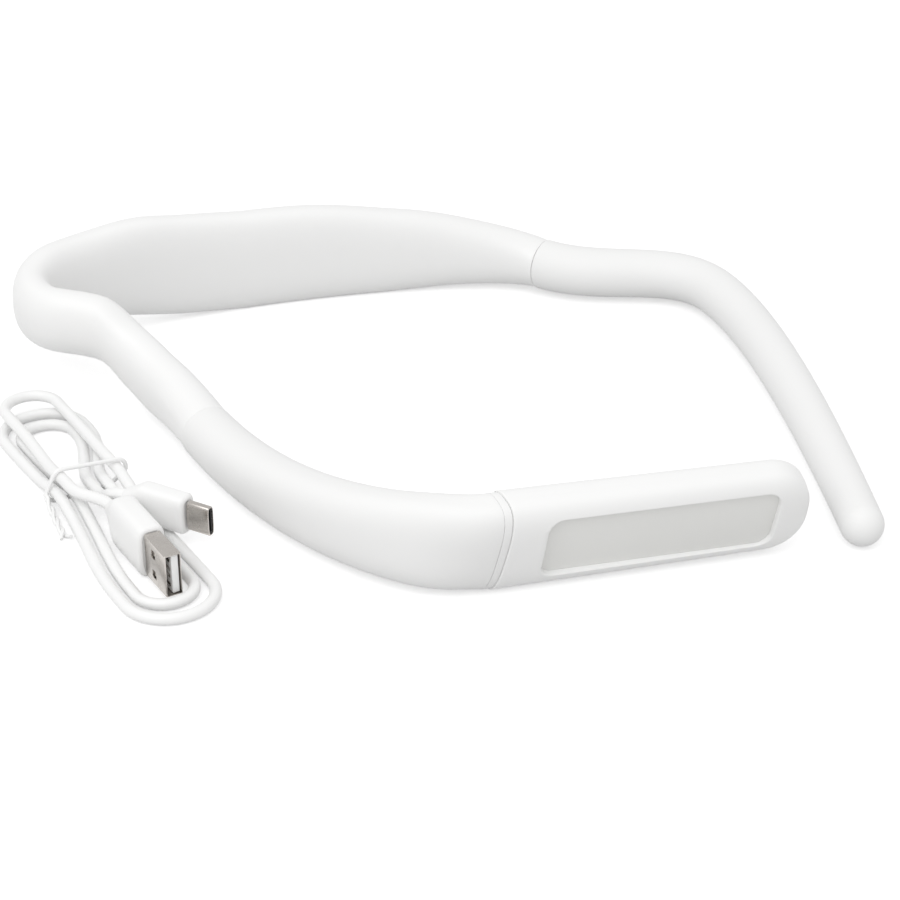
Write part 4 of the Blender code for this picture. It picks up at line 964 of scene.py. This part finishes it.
def makeHousing():
    values = housingValues
    rooms = roomValues
    length = housingLine.length
    edge = values["edge"]
    stations = [(setback / length, inset) for setback, inset in roundedEnd(edge, True)]
    stations += [(share, 0) for share in np.linspace(0, 1, values["stations"])[1:-1]]
    stations += [(1 - setback / length, inset) for setback, inset in roundedEnd(edge, False)]
    body = sweepRings("housingShell", [housingRing(share, inset) for share, inset in stations])

    thickness = coverValues["thickness"]
    tools = [coverSlab("coverRecess", fit, -2 * mm, thickness + fit, 0)]
    cellLength, cellHeight = rooms["cell"]
    for share in rooms["cells"]:
        half = halfThicknessAt(share)
        low = (-cellLength / 2 - 2 * fit, -(half - values["wall"]), -cellHeight / 2 - fit)
        high = (cellLength / 2 + 2 * fit, low[1] + rooms["cellDepth"], cellHeight / 2 + fit)
        tools.append(boxOnLine("cellRoom", share, low, high))
        wayLength, wayHeight = rooms["cellWayIn"]
        low = (-wayLength / 2, 0, -wayHeight / 2)
        tools.append(boxOnLine("cellWayIn", share, low, (wayLength / 2, half - thickness / 2, wayHeight / 2)))
    share = rooms["board"]
    half = halfThicknessAt(share)
    boardLength, boardBottom, boardTop = rooms["boardSize"]
    face = rooms["boardFace"]
    portWidth, portThickness, portDepth = rooms["port"]
    portBottom = -halfHeightAt(share) + rooms["portRecess"]
    roomBack = face + portThickness + 3 * fit
    low = (-boardLength / 2 - fit, face - 1 * mm - fit, boardBottom - fit)
    tools.append(boxOnLine("boardRoom", share, low, (boardLength / 2 + fit, roomBack, boardTop + fit)))
    low = (-boardLength / 2, roomBack - fit, -boardTop)
    tools.append(boxOnLine("boardWayIn", share, low, (boardLength / 2, half - thickness / 2, boardTop)))
    low = (-portWidth / 2 - fit, face, portBottom - 3 * mm)
    high = (portWidth / 2 + fit, face + portThickness + 2 * fit, boardBottom + fit)
    tools.append(boxOnLine("portMouth", share, low, high, 1.2 * mm))
    for share, way in ((0, 1), (1, -1)):
        inward = housingLine.forward(share) * way
        root = housingLine.point(share)
        radius = rooms["ferrule"]
        wideDepth, depth = rooms["boreDepth"]
        profile = ((radius, -2 * mm), (radius, wideDepth), (radius / 2, depth))
        tools.append(sweepRings("rootBore", turnedRings(root, inward, profile, 32)))

    cover = coverSlab("backCoverPanel", 0, 0, thickness, coverValues["edge"])
    coverTools = []
    screws = []
    inset = coverValues["screwInset"] / length
    headRadius, headHeight = coverValues["screwHead"]
    shankRadius, shankLength = coverValues["screwShank"]
    for number, share in enumerate((coverValues["from"] + inset, coverValues["to"] - inset), 1):
        inward = housingLine.out(share)
        place = onBack(share, 0, fit)
        for group in (tools, coverTools):
            group += [
                cylinderTool("screwHeadHole", place, inward, headRadius + fit, -2 * mm, headHeight + fit),
                cylinderTool("screwShankHole", place, inward, shankRadius + fit, 0, shankLength + fit),
            ]
        profile = (
            (headRadius * 0.55, -0.12 * mm),
            (headRadius * 0.85, 0),
            (headRadius, 0.2 * mm),
            (headRadius, headHeight),
            (shankRadius, headHeight),
            (shankRadius, shankLength - 0.5 * mm),
            (shankRadius * 0.4, shankLength),
        )
        screw = sweepRings("coverScrew%d" % number, turnedRings(place, inward, profile, 32))
        place = Matrix.Translation(place) @ inward.to_track_quat("Z", "Y").to_matrix().to_4x4()
        for blade in ((0.9 * mm, 0.16 * mm), (0.16 * mm, 0.9 * mm)):
            low = (-blade[0], -blade[1], -1 * mm)
            carve(screw, roundedBlock("crossBlade", low, (*blade, 0.35 * mm), place))
        smoothSides(screw)
        screws.append(dress(screw, "steel", "housing", ["cover_screw_%d" % number]))

    share = rooms["board"]
    outward = -housingLine.out(share)
    pipeFace = onBack(share, rooms["pipeRise"], 0)
    pipeLength = half - face - fit
    radius = rooms["pipeRadius"]
    coverTools.append(cylinderTool("pipeHole", pipeFace, outward, radius + fit, -pipeLength, 2 * mm))
    profile = (
        (radius, -pipeLength),
        (radius, -0.25 * mm),
        (radius * 0.92, -0.1 * mm),
        (radius * 0.75, 0),
        (radius * 0.4, 0.06 * mm),
    )
    pipe = sweepRings("lightPipe", turnedRings(pipeFace, outward, profile, 32))
    dress(pipe, "clear", "housing", ["charge_light_pipe"])

    carve(body, *tools)
    dress(smoothSides(body), "plastic", "housing", ["housing_body"])
    carve(cover, *coverTools)
    dress(smoothSides(cover), "plastic", "housing", ["back_cover"])

    # the charging socket's shell and the tongue inside it
    share = rooms["board"]
    place = housingLine.axes(share)
    side = place.to_3x3() @ Vector((0, 1, 0))
    along = place.to_3x3() @ Vector((1, 0, 0))
    portMiddle = face + fit + portThickness / 2
    mouth = place @ Vector((0, portMiddle, portBottom))
    skin = (
        (portDepth, 0.3 * mm),
        (portDepth - 0.2 * mm, 0),
        (0.1 * mm, 0),
        (0, 0.08 * mm),
        (0, plugWall),
        (portDepth - plugWall, plugWall),
    )
    rings = []
    for height, inset in skin:
        sizes = (portThickness / 2 - inset, portWidth / 2 - inset)
        rings.append(crossSection(mouth + up * height, side, along, *sizes, 4, 48))
    socket = sweepRings("chargeSocket", rings)
    dress(socket, "nickel", "housing", ["usb_port_shell"])
    low = (-portWidth / 2 + 1.1 * mm, portMiddle - 0.35 * mm, portBottom + 0.9 * mm)
    high = (portWidth / 2 - 1.1 * mm, portMiddle + 0.35 * mm, portBottom + portDepth - plugWall)
    dress(roundedBlock("socketTongue", low, high, place, 0.15 * mm), "black", "housing")
    print("housing: %d faces" % len(body.data.polygons))


makeHousing()


# Arms: soft sleeves over the goosenecks, in one piece round each hinge

lampArmValues = {
    "reach": 104.2 * mm,
    "sleeveRadius": 7.8 * mm,
    "headSpanShare": -0.967,
    "startHandle": 47.6 * mm,
    "endHandle": 25.1 * mm,
    "risePower": 1.3,
    "flarePower": 1.6,
    "hinges": (0.15, 0.38, 0.60, 0.80),
    "bendHalf": (0.10, 0.10, 0.095, 0.09),  # share of the arm each way from a hinge
    "bodies": ("housing", "lamp_link_2", "lamp_link_3", "lamp_link_4", "lamp_head"),
    "bore": 4 * mm,
    "edge": 0.25 * mm,
    "endEdge": 0.08 * mm,
    "spacing": 1.1 * mm,
}
plainArmValues = {
    "reach": 159.9 * mm,
    "midRadius": 7.1 * mm,
    "tipRadius": 5.8 * mm,
    "tipClearance": 0.2 * mm,
    "kneeShares": (1.277, 0.329),
    "tipShares": (0.103, 1),
    "kneeTurn": math.radians(22.8),
    "tipTurn": math.radians(43.1),
    "handles": (22.8 * mm, 25.5 * mm, 29.5 * mm, 46 * mm),
    "hinges": (0.2, 0.4, 0.6, 0.8),
    "bendHalf": (0.08, 0.08, 0.08, 0.08),
    "bodies": ("housing", "plain_link_2", "plain_link_3", "plain_link_4", "plain_link_5"),
    "bore": 4 * mm,
    "boreStop": 7.5 * mm,  # before the round tip
    "tipRings": 14,
    "tipRound": math.radians(88),
    "edge": 0.25 * mm,
    "spacing": 1.3 * mm,
}
headValues = {
    "length": 79 * mm,
    "halfHeight": (14.4 * mm, 13.4 * mm),
    "halfThickness": (7 * mm, 6.2 * mm),
    "power": 3,
    "ringCount": 80,
    "endRadius": 10 * mm,
    "endShares": (0.97, 0.6, 0.3),  # roundness, and what is left of thickness and height
    "endInset": 0.45 * mm,
    "endBulge": 0.35 * mm,
    "endShrinks": (1, 0.85, 0.65, 0.4, 0.15),
    "centreHeight": 14.6 * mm,
    "heading": math.radians(55.4),
    "lean": math.radians(15),
    "seamSlant": math.radians(14),
    "seamFade": 12 * mm,
    "seamLean": (-2.7 * mm, 0.15),  # how far along at the middle, and per height above it
    "collar": 1.7 * mm,
    "window": (9.5 * mm, 60 * mm, 17 * mm, 0.5 * mm),
    "windowCorner": 3.7 * mm,
    "windowSkew": (1.3 * mm, 1.1 * mm, 1 * mm, 0.1 * mm, 0.8 * mm),
    "windowLip": (  # spreads of the outline, and how far they lie below the front face
        (0, 0.5 * mm),
        (0.05 * mm, 0.26 * mm),
        (0.17 * mm, 0.09 * mm),
        (0.4 * mm, -0.04 * mm),
        (1.2 * mm, -0.7 * mm),
    ),
    "coreHole": (2.8 * mm, -4 * mm, 10 * mm),
    "pocketFloor": 4.5 * mm,
    "parting": -4.6 * mm,
    "wall": 1.6 * mm,
    "cavity": (2 * mm, 72 * mm, 10.8 * mm),
    "backFloor": -5.1 * mm,
    "panelMargin": (2.3 * mm, 2 * mm),
    "panelSeat": 0.03 * mm,
    "panelThickness": 1.5 * mm,
    "button": (40 * mm, 4 * mm, 0.6 * mm),
    "edge": 0.22 * mm,
    "seams": (0.05 * mm, 0.2 * mm),  # gaps beside the collar, to the sleeve and to the head
}

headForward = Vector((math.sin(headValues["heading"]), -math.cos(headValues["heading"]), 0))
headOut = headForward.cross(up)
headFront = headOut * math.cos(headValues["lean"]) - up * math.sin(headValues["lean"])
headTop = up * math.cos(headValues["lean"]) + headOut * math.sin(headValues["lean"])
headPlan = np.array(
    (
        lampArmValues["headSpanShare"] * housingValues["halfSpan"],
        -housingValues["bandDepth"] - lampArmValues["reach"],
    )
)
headPlace = Vector((*headPlan, headValues["centreHeight"]))
lampEnd = headPlan - np.array(headForward.xy) * (headValues["collar"] + 2 * fit)


def makeLampLine():
    back = np.array(housingLine.forward(0).xy)
    seam = inPlan(-1, 0) - back * fit
    curve = (
        seam,
        seam - back * lampArmValues["startHandle"],
        lampEnd - np.array(headForward.xy) * lampArmValues["endHandle"],
        lampEnd,
    )
    start = housingLine.point(0).z
    rise = headValues["centreHeight"] - start
    return CentreLine([curve], lambda share: start + rise * ease(share ** lampArmValues["risePower"]))


def makePlainLine():
    values = plainArmValues
    way = np.array(housingLine.forward(1).xy)
    seam = inPlan(1, 0) + way * fit
    spanShare, reachShare = values["kneeShares"]
    halfSpan = housingValues["halfSpan"]
    depth = housingValues["bandDepth"]
    knee = np.array((spanShare * halfSpan, -depth - reachShare * values["reach"]))
    spanShare, reachShare = values["tipShares"]
    tip = np.array((spanShare * halfSpan, -depth - reachShare * values["reach"]))
    kneeWay = np.array((-math.sin(values["kneeTurn"]), -math.cos(values["kneeTurn"])))
    tipWay = np.array((-math.sin(values["tipTurn"]), -math.cos(values["tipTurn"])))
    a, b, c, d = values["handles"]
    curves = [
        (seam, seam + way * a, knee - kneeWay * b, knee),
        (knee, knee + kneeWay * c, tip - tipWay * d, tip),
    ]
    start = housingLine.point(1).z
    drop = start - values["tipRadius"] - values["tipClearance"]
    return CentreLine(curves, lambda share: start - drop * share)


lampLine = makeLampLine()
plainLine = makePlainLine()
plainRadiusAt = throughKnots(
    (0, 0.35, 1), (lampArmValues["sleeveRadius"], plainArmValues["midRadius"], plainArmValues["tipRadius"])
)


def leanSeam(ring, centre, forward, top, fade):  # moves a ring's points along the head by their height
    middle, slope = headValues["seamLean"]
    return [point + forward * (middle + slope * (point - centre).dot(top)) * fade for point in ring]


def lampRing(share, inset=0.0, bore=False):
    values = lampArmValues
    radius = values["sleeveRadius"]
    forward = lampLine.forward(share)
    out = lampLine.out(share)
    lastHinge = values["hinges"][-1]
    lean = headValues["lean"] * ease((share - lastHinge) / (1 - lastHinge))
    fade = ease(1 - (1 - share) * lampLine.length / headValues["seamFade"])
    slant = headValues["seamSlant"] * fade
    side = out * math.cos(lean) - up * math.sin(lean) + forward * math.tan(slant)
    top = up * math.cos(lean) + out * math.sin(lean)
    height = radius + (headValues["halfHeight"][0] - fit - radius) * share ** values["flarePower"] - inset
    thickness = radius + (headValues["halfThickness"][0] - fit - radius) * share ** 2 - inset
    power = 2 + share
    if bore:
        height = thickness = values["bore"]
        power = 2
    place = lampLine.point(share)
    ring = crossSection(place, side, top, thickness, height, power, 60)
    return leanSeam(ring, place, forward, top, fade)


def plainRing(share, inset=0.0, bore=False):
    radius = plainArmValues["bore"] if bore else plainRadiusAt(share) - inset
    return crossSection(plainLine.point(share), plainLine.out(share), up, radius, radius, 2, 60)


def sleevePiece(name, line, ringAt, values, start, end, startEdge, endEdge):
    # outside from start to end, then back along the bore
    length = line.length
    count = max(8, round((end - start) * length / values["spacing"]))
    shares = list(np.linspace(start, end, count))
    nudge = 0.1 * mm / length
    outside = []
    if startEdge:
        for setback, inset in roundedEnd(values["edge"], True):
            outside.append((start + setback / length, inset))
    else:
        outside += [(start, 0), (start + nudge, 0)]
    outside += [(share, 0) for share in shares[1:-1]]
    if endEdge:
        for setback, inset in roundedEnd(values["endEdge"], False):
            outside.append((end - setback / length, inset))
    else:
        outside += [(end - nudge, 0), (end, 0)]
    rings = [ringAt(share, inset) for share, inset in outside]
    rings += [ringAt(share, 0, True) for share in np.linspace(end, start, max(6, count // 3))]
    return sweepRings(name, rings, True)


def plainTip(name, start):
    values = plainArmValues
    line = plainLine
    length = line.length
    nudge = 0.1 * mm / length
    count = round((1 - start) * length / values["spacing"])
    shares = [start, start + nudge, *np.linspace(start, 1, count)[1:]]
    rings = [plainRing(share) for share in shares]
    tip = line.point(1)
    way = line.forward(1)
    for angle in np.linspace(0, values["tipRound"], values["tipRings"])[1:]:
        radius = values["tipRadius"] * math.cos(angle)
        place = tip + way * values["tipRadius"] * math.sin(angle)
        rings.append(crossSection(place, line.out(1), up, radius, radius, 2, 60))
    piece = sweepRings(name, rings)
    # the blind bore for the gooseneck
    boreEnd = 1 - values["boreStop"] / length
    bore = [plainRing(start - nudge, 0, True)]
    bore += [plainRing(share, 0, True) for share in np.linspace(start, boreEnd, 20)]
    carve(piece, sweepRings("tipBore", bore))
    return smoothSides(piece)


def makeArm(name, line, ringAt, values, prefix):
    hinges = values["hinges"]
    cuts = [0] + [(a + b) / 2 for a, b in zip(hinges, hinges[1:])] + [1]
    for number, (hinge, half) in enumerate(zip(hinges, values["bendHalf"])):
        start, end = cuts[number], cuts[number + 1]
        pieceName = "%sSleeve%d" % (name, number + 1)
        if prefix == "plain" and end == 1:
            piece = plainTip(pieceName, start)
        else:
            piece = sleevePiece(pieceName, line, ringAt, values, start, end, number == 0, end == 1)
        replaced = ["%s_arm_sleeve_%d" % (prefix, number + 2)]
        if number == 0:
            replaced.append("%s_arm_sleeve_1" % prefix)
        dress(piece, "silicone", None, replaced)
        bodies = values["bodies"]
        low, high = line.point(hinge - half), line.point(hinge + half)
        bodies[number + 1]
        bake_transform(piece)
    print("%s: %.1f mm long" % (name, line.length / mm))


makeArm("lampArm", lampLine, lampRing, lampArmValues, "lamp")
makeArm("plainArm", plainLine, plainRing, plainArmValues, "plain")


# Lamp head: its own frame runs along it, to its back, and up

headMatrix = Matrix.Translation(headPlace) @ Matrix((headForward, -headFront, headTop)).transposed().to_4x4()


def headSizes(along):
    values = headValues
    share = along / values["length"]
    rounding = min(max((along - values["length"] + values["endRadius"]) / values["endRadius"], 0), 1)
    roundness, leastThickness, leastHeight = values["endShares"]
    full = math.sqrt(1 - roundness * rounding ** 2)
    tall, low = values["halfHeight"]
    thick, thin = values["halfThickness"]
    height = tall + (low - tall) * share
    thickness = thick + (thin - thick) * share
    thickness *= leastThickness + (1 - leastThickness) * full
    return thickness, height * (leastHeight + (1 - leastHeight) * full)


def headRing(along, inset=0.0):
    thickness, height = headSizes(along)
    fade = ease(1 - along / headValues["seamFade"])
    place = headPlace + headForward * along
    side = headFront + headForward * (math.tan(headValues["seamSlant"]) * fade)
    sizes = (thickness - inset, height - inset)
    ring = crossSection(place, side, headTop, *sizes, headValues["power"], headValues["ringCount"])
    return leanSeam(ring, place, headForward, headTop, fade)


def startRing(along, inset):  # the ring at the head's start, moved along it
    return [point + headForward * along for point in headRing(0, inset)]


def alignedRings(rings):  # turns the order of rings with other starts to face the first ring's points
    aligned = [rings[0]]
    for ring in rings[1:]:
        count = len(ring)
        if (ring[0] - aligned[0][0]).length > 3 * mm:
            orders = []
            for way in (1, -1):
                for shift in range(count):
                    orders.append([ring[(shift + way * k) % count] for k in range(count)])
            some = aligned[0][::8]
            ring = min(orders, key=lambda order: sum((a - b).length for a, b in zip(order[::8], some)))
        aligned.append(ring)
    return aligned


def frontDepth(along, upward):  # how far the front face lies before the centre line
    thickness, height = headSizes(along)
    power = headValues["power"]
    return thickness * (1 - abs(upward / height) ** power) ** (1 / power)


def headBlock(name, along, depth, upward, rounding=0.0):
    low = (along[0], -depth[1], upward[0])
    high = (along[1], -depth[0], upward[1])
    return roundedBlock(name, low, high, headMatrix, rounding)


def windowOutline():
    start, length, height, rise = headValues["window"]
    corner = headValues["windowCorner"]
    outline = []
    for centreAlong, centreUp, fromAngle in (
        (start + length - corner, rise + height / 2 - corner, 0),
        (start + corner, rise + height / 2 - corner, 90),
        (start + corner, rise - height / 2 + corner, 180),
        (start + length - corner, rise - height / 2 + corner, 270),
    ):
        for angle in np.radians(np.linspace(fromAngle, fromAngle + 90, 9)):
            outline.append((centreAlong + corner * math.cos(angle), centreUp + corner * math.sin(angle)))
    full = []
    for here, after in zip(outline, outline[1:] + outline[:1]):  # long sides get points between
        steps = max(1, round(math.dist(here, after) / (3 * mm)))
        run = np.array(after) - np.array(here)
        full += [tuple(np.array(here) + run * k / steps) for k in range(steps)]
    return full


def windowSkew(along, upward):  # the window is a little taller at the arm's end, and its ends lean
    start, length, height, rise = headValues["window"]
    endShare = (along - start) / length
    topShare = (upward - rise) / height + 0.5
    foot, head, tallStart, tallEnd, low = headValues["windowSkew"]
    along = along - foot * (1 - endShare) * (1 - topShare) + head * endShare * topShare
    taller = tallStart * (1 - endShare) + tallEnd * endShare
    return along, upward + taller * topShare - low * (1 - topShare)


def spreadWindow(spread):
    start, length, height, rise = headValues["window"]
    corner = headValues["windowCorner"]
    grown = []
    for along, upward in windowOutline():  # each point moves out from the nearest straight part
        coreAlong = min(max(along, start + corner), start + length - corner)
        coreUp = min(max(upward, rise - height / 2 + corner), rise + height / 2 - corner)
        way = np.array((along - coreAlong, upward - coreUp))
        way = way / np.linalg.norm(way)
        grown.append(windowSkew(along + way[0] * spread, upward + way[1] * spread))
    return grown


def windowTool():  # from the pocket's floor, out through the lip, to clear of the front face
    floor = headValues["pocketFloor"] - fit
    lip = headValues["windowLip"]
    widest = lip[-1][0]
    rings = [[headMatrix @ Vector((along, -floor, upward)) for along, upward in spreadWindow(0)]]
    for spread, below in lip:
        ring = []
        for along, upward in spreadWindow(spread):
            depth = frontDepth(along, upward) - below
            ring.append(headMatrix @ Vector((along, -depth, upward)))
        rings.append(ring)
    clear = floor + 6 * mm
    rings.append([headMatrix @ Vector((along, -clear, upward)) for along, upward in spreadWindow(widest)])
    return sweepRings("windowTool", rings)


def makeHead():
    values = headValues
    edge = values["edge"]
    length = values["length"]
    stations = [(setback, inset) for setback, inset in roundedEnd(edge, True)]
    stations += [(along, 0) for along in np.linspace(1.5 * mm, length - values["endRadius"], 44)]
    for angle in np.linspace(4, 90, 22):
        stations.append((length - values["endRadius"] * (1 - math.sin(math.radians(angle))), 0))
    rings = [headRing(along, inset) for along, inset in stations]
    middle = headPlace + headForward * length
    for shrink in values["endShrinks"]:  # the free end bulges a little
        bulge = headForward * (values["endBulge"] * (2 - shrink ** 2))
        end = headRing(length, values["endInset"])
        rings.append([middle + (point - middle) * shrink + bulge for point in end])
    parting = values["parting"]
    reach = 12 * mm
    everything = (-8 * mm, length + 4 * mm)
    tall = (-20 * mm, 20 * mm)
    cavityStart, cavityEnd, cavityHeight = values["cavity"]

    front = sweepRings("headFrontShell", rings)
    carve(
        front,
        headBlock("behindFront", everything, (-reach, parting + fit / 2), tall),
        headBlock(
            "headCavity",
            (cavityStart, cavityEnd),
            (parting - 1 * mm, values["pocketFloor"]),
            (-cavityHeight, cavityHeight),
            0.8 * mm,
        ),
        windowTool(),
        cylinderTool("coreHole", headPlace, headForward, *values["coreHole"]),
    )
    dress(smoothSides(front), "plastic", "lamp_head", ["head_front_frame"])

    back = sweepRings("headBackCover", rings)
    along, radius, proud = values["button"]
    buttonPlace = headMatrix @ Vector((along, 0, 0))
    backward = -headFront
    halfThickness = headSizes(along)[0]
    hole = radius + fit
    profile = (
        (hole, -values["backFloor"] - 1 * mm),
        (hole, halfThickness - 0.35 * mm),
        (hole + 0.9 * mm, halfThickness + 0.1 * mm),
        (hole + 3 * mm, halfThickness + 2 * mm),
    )
    dish = sweepRings("buttonDish", turnedRings(buttonPlace, backward, profile, 48))
    wall = values["wall"]
    carve(
        back,
        headBlock("beforeBack", everything, (parting - fit / 2, reach), tall),
        headBlock(
            "backRoom",
            (cavityStart + wall, cavityEnd - wall),
            (values["backFloor"], parting + 2 * mm),
            (-cavityHeight + wall, cavityHeight - wall),
        ),
        dish,
    )
    dress(smoothSides(back), "plastic", "lamp_head", ["head_back_shell"])

    collarLength = values["collar"]
    collarRings = []
    faint, plain = values["seams"]
    start = -collarLength - 2 * fit + faint
    for setback, inset in roundedEnd(faint, True):
        collarRings.append(startRing(start + setback, inset + fit))
    for setback, inset in roundedEnd(plain, False):
        collarRings.append(startRing(-plain - setback, inset + fit))
    bore = ((lampArmValues["bore"], -plain), (lampArmValues["bore"], start))
    collarRings += turnedRings(headPlace, headForward, bore, values["ringCount"])
    collar = sweepRings("headCollarRing", alignedRings(collarRings), True)
    dress(collar, "silicone", "lamp_head", ["head_collar"])

    start, windowLength, windowHeight, rise = values["window"]
    margin, marginUp = values["panelMargin"]
    face = values["pocketFloor"] - values["panelSeat"]
    panel = headBlock(
        "lightPanel",
        (start - margin, start + windowLength + margin),
        (face - values["panelThickness"], face),
        (rise - windowHeight / 2 - marginUp, rise + windowHeight / 2 + marginUp),
        0.2 * mm,
    )
    dress(panel, "panel", "lamp_head", ["diffuser"])

    top = halfThickness + proud
    profile = (
        (radius + 1 * mm, -values["backFloor"] - 0.9 * mm),
        (radius + 1 * mm, -values["backFloor"] - fit),
        (radius, -values["backFloor"] - fit),
        (radius, top - 0.5 * mm),
        (radius - 0.1 * mm, top - 0.25 * mm),
        (radius - 0.35 * mm, top - 0.06 * mm),
        (radius - 0.7 * mm, top),
        (radius * 0.62, top - 0.06 * mm),
        (radius * 0.58, top - 0.22 * mm),
        (radius * 0.45, top - 0.3 * mm),
        (radius * 0.2, top - 0.33 * mm),
    )
    cap = sweepRings("powerButtonCap", turnedRings(buttonPlace, backward, profile, 48))
    dress(cap, "silicone", "power_button", ["power_button"])
    print("head: %d faces in front" % len(front.data.polygons))


makeHead()


# Pieces inside keep their CAD solids

innerLooks = {
    "battery_cell_1": "foil",
    "battery_cell_2": "foil",
    "cell_pad_1": "foam",
    "cell_pad_2": "foam",
    "control_board": "board",
    "led_board": "board",
    "reflector_tray": "plastic",
    "core_anchor": "steel",
    "lamp_arm_ferrule": "steel",
    "plain_arm_ferrule": "steel",
    "tact_switch": "black",
}
for number in range(1, 6):
    innerLooks["lamp_arm_core_%d" % number] = "steel"
    innerLooks["plain_arm_core_%d" % number] = "steel"
for node, look in innerLooks.items():
    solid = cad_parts[node]
    solid.data.materials.clear()
    solid.data.materials.append(finishes[look])
print("inside: %d solids" % len(innerLooks))

clearSelection()
